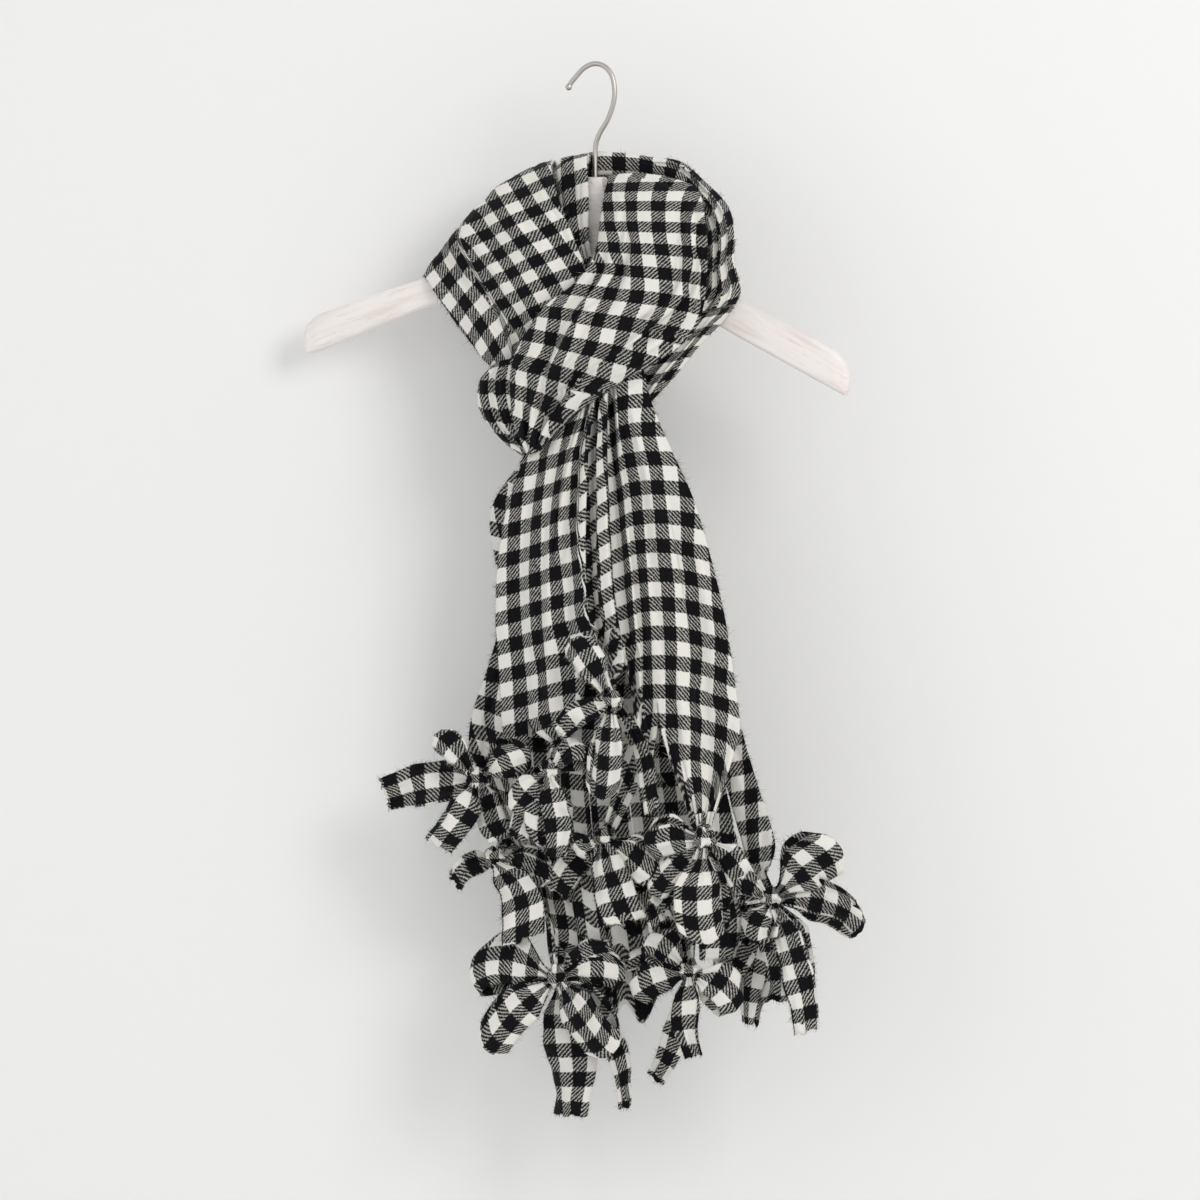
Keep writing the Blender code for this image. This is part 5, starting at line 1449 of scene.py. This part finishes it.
def make_cloth(name, grid, seed, nap_area, both_sides, raw_edges, slits=None):
    """One piece of cloth in its place, and what its nap and its frayed edges are made of."""
    cloth = bpy.context.scene.stole_cloth
    period = cloth.check_period / MM
    points, layout, shown = grid
    thing = cloth_object(f"stole_{name}", points, shown, flannel(), period, cloth.thickness / MM, slits)
    finish_cloth(thing, [name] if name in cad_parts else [])
    rng = np.random.default_rng(seed)
    nap = nap_roots(points, shown, period, nap_area, rng, both_sides, slits)
    fray = edge_roots(points, shown, period, FRAY_SPACING, rng, raw_edges, slits)
    nap_lengths = rng.gamma(NAP_EVENNESS, cloth.nap_length / MM / NAP_EVENNESS, len(nap[0]))
    fray_lengths = rng.gamma(FRAY_EVENNESS, cloth.fray_length / MM / FRAY_EVENNESS, len(fray[0]))
    lengths = np.minimum(np.concatenate([nap_lengths, fray_lengths]), LONGEST_FIBRE)
    roots, ways, checks = (np.concatenate(pair) for pair in zip(nap, fray))
    return roots, ways, lengths, checks


def make_panel(name, nap_both_sides=False):
    """One stretch of the stole with its nap, from its row in the table."""
    panel = next(entry for entry in PANELS if entry.name == name)
    grid = panel_grid(panel, bpy.context.scene.stole_cloth.crease_strength)
    seed = len(name) * 101 + panel.columns
    raw_edges = ("sides", "end") if panel.strips else ("sides",)
    fibres = make_cloth(
        name, grid, seed, PANEL_NAP_AREA, nap_both_sides, raw_edges, slit_cells(panel))
    fibre_tufts(f"nap_{name}", *fibres)


def make_strip(name, grid, tip_frays):
    """One strip of a bow, and what its nap and its frayed edges are made of."""
    period = bpy.context.scene.stole_cloth.check_period / MM
    points, layout = grid
    seed = sum(ord(letter) for letter in name)
    shown = layout + seed * np.array(CHECK_STEPS) % period
    raw_edges = ("sides", "end") if tip_frays else ("sides",)
    return make_cloth(name, (points, layout, shown), seed, STRIP_NAP_AREA, True, raw_edges)


class STOLE_OT_hanger(bpy.types.Operator):
    """Build the wooden hanger and its nickel hook"""

    bl_idname = "stole.hanger"
    bl_label = "Hanger"

    def execute(self, context):
        settings = context.scene.stole_hanger
        bar_object(washed_wood_material(settings.wood, settings.grain))
        hook_object(nickel_material(settings.nickel))
        return {"FINISHED"}


class STOLE_OT_neck(bpy.types.Operator):
    """Build the stretches that lie round the hanger's neck"""

    bl_idname = "stole.neck"
    bl_label = "Round the neck"

    def execute(self, context):
        make_panel("neck_back", nap_both_sides=True)
        make_panel("left_drape")
        make_panel("left_inner")
        make_panel("right_shoulder")
        return {"FINISHED"}


class STOLE_OT_loop(bpy.types.Operator):
    """Build the fold that the ends are drawn through"""

    bl_idname = "stole.loop"
    bl_label = "Looped fold"

    def execute(self, context):
        make_panel("loop_return")
        make_panel("loop_fold")
        make_panel("loop_band")
        return {"FINISHED"}


class STOLE_OT_tails(bpy.types.Operator):
    """Build the two ends that hang from the fold"""

    bl_idname = "stole.tails"
    bl_label = "Hanging ends"

    def execute(self, context):
        make_panel("front_tail", nap_both_sides=True)
        make_panel("back_tail", nap_both_sides=True)
        return {"FINISHED"}


class STOLE_OT_bows(bpy.types.Operator):
    """Tie the strips of both hems in bows"""

    bl_idname = "stole.bows"
    bl_label = "Bows"

    def execute(self, context):
        cloth = context.scene.stole_cloth
        period = cloth.check_period / MM
        hems = {}
        for panel in PANELS:
            if panel.name in ("front_tail", "back_tail"):
                points, _, _ = panel_grid(panel, cloth.crease_strength)
                hems[panel.name.split("_")[0]] = (panel.strips, points, normals_of(points))
        for bow in BOWS:
            knot = knot_object(bow, flannel(), period)
            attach(knot, "root")
            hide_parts(f"{bow.name}_knot")
            fibres = [make_strip(f"{bow.name}_lead", lead_grid(bow, *hems[bow.panel]), False)]
            for loop in bow.loops:
                fibres.append(make_strip(f"{bow.name}_{loop.name}", loop_grid(bow, loop), False))
            for tail in bow.tails:
                fibres.append(make_strip(f"{bow.name}_{tail.name}", tail_grid(bow, tail), True))
            fibre_tufts(f"nap_{bow.name}", *(np.concatenate(parts) for parts in zip(*fibres)))
        return {"FINISHED"}


class STOLE_OT_stage(bpy.types.Operator):
    """Set the pale wall and floor, the soft lights and the camera"""

    bl_idname = "stole.stage"
    bl_label = "Stage"

    def execute(self, context):
        scene = context.scene
        stage = scene.stole_stage
        right, towards = view_axes()
        up = Vector((0.0, 0.0, 1.0))
        target = right * VIEW_ACROSS * MM + up * VIEW_HEIGHT * MM
        wall = stage_plane(
            "wall", towards * -WALL_BEHIND * MM + up * (FLOOR_HEIGHT + STAGE_SIZE / 2.0), right, up,
            STAGE_SIZE, wall_material(stage.wall))
        wall.visible_shadow = False
        ground = up * FLOOR_HEIGHT
        stage_plane("floor", ground, right, -towards, STAGE_SIZE, floor_material(stage.wall))
        for light in LIGHTS:
            place = target + right * light.right + towards * light.towards + up * light.up
            power = stage.key_power * light.share
            soft_light(light.name, place, target, light.size, power, light.colour)
        world = bpy.data.worlds.new("even_room_light")
        world.use_nodes = True
        background = world.node_tree.nodes["Background"]
        background.inputs["Color"].default_value = (1.0, 1.0, 1.0, 1.0)
        background.inputs["Strength"].default_value = stage.ambient
        scene.world = world
        data = bpy.data.cameras.new("portrait_camera")
        data.sensor_width = SENSOR_WIDTH
        data.lens = SENSOR_WIDTH * stage.camera_distance / (VIEW_WIDTH * MM)
        camera = bpy.data.objects.new("portrait_camera", data)
        camera.location = target + towards * stage.camera_distance
        camera.rotation_euler = (target - camera.location).to_track_quat("-Z", "Y").to_euler()
        scene.collection.objects.link(camera)
        scene.camera = camera
        scene.view_settings.view_transform = "Standard"
        return {"FINISHED"}


OPERATORS = (STOLE_OT_hanger, STOLE_OT_neck, STOLE_OT_loop, STOLE_OT_tails, STOLE_OT_bows, STOLE_OT_stage)


class STOLE_PT_panel(bpy.types.Panel):
    """The stole's sizes, colours and pieces"""

    bl_idname = "STOLE_PT_panel"
    bl_label = "Ribbon stole"
    bl_space_type = "VIEW_3D"
    bl_region_type = "UI"
    bl_category = "Stole"

    def draw(self, context):
        scene = context.scene
        for settings in (scene.stole_cloth, scene.stole_hanger, scene.stole_stage):
            box = self.layout.box()
            for name in settings.__annotations__:
                box.prop(settings, name)
        for operator in OPERATORS:
            self.layout.operator(operator.bl_idname)


SETTINGS = {
    "stole_cloth": StoleClothSettings,
    "stole_hanger": StoleHangerSettings,
    "stole_stage": StoleStageSettings,
}
CLASSES = (*SETTINGS.values(), *OPERATORS, STOLE_PT_panel)


def register():
    """Add the settings, the operators and the panel."""
    for entry in CLASSES:
        bpy.utils.register_class(entry)
    for name, group in SETTINGS.items():
        setattr(bpy.types.Scene, name, bpy.props.PointerProperty(type=group))


def unregister():
    """Take the settings, the operators and the panel out again."""
    for name in SETTINGS:
        delattr(bpy.types.Scene, name)
    for entry in reversed(CLASSES):
        bpy.utils.unregister_class(entry)


def main():
    """Build everything in order."""
    register()
    bpy.ops.stole.stage()
    bpy.ops.stole.hanger()
    bpy.ops.stole.neck()
    bpy.ops.stole.loop()
    bpy.ops.stole.tails()
    bpy.ops.stole.bows()


if __name__ == "__main__":
    main()
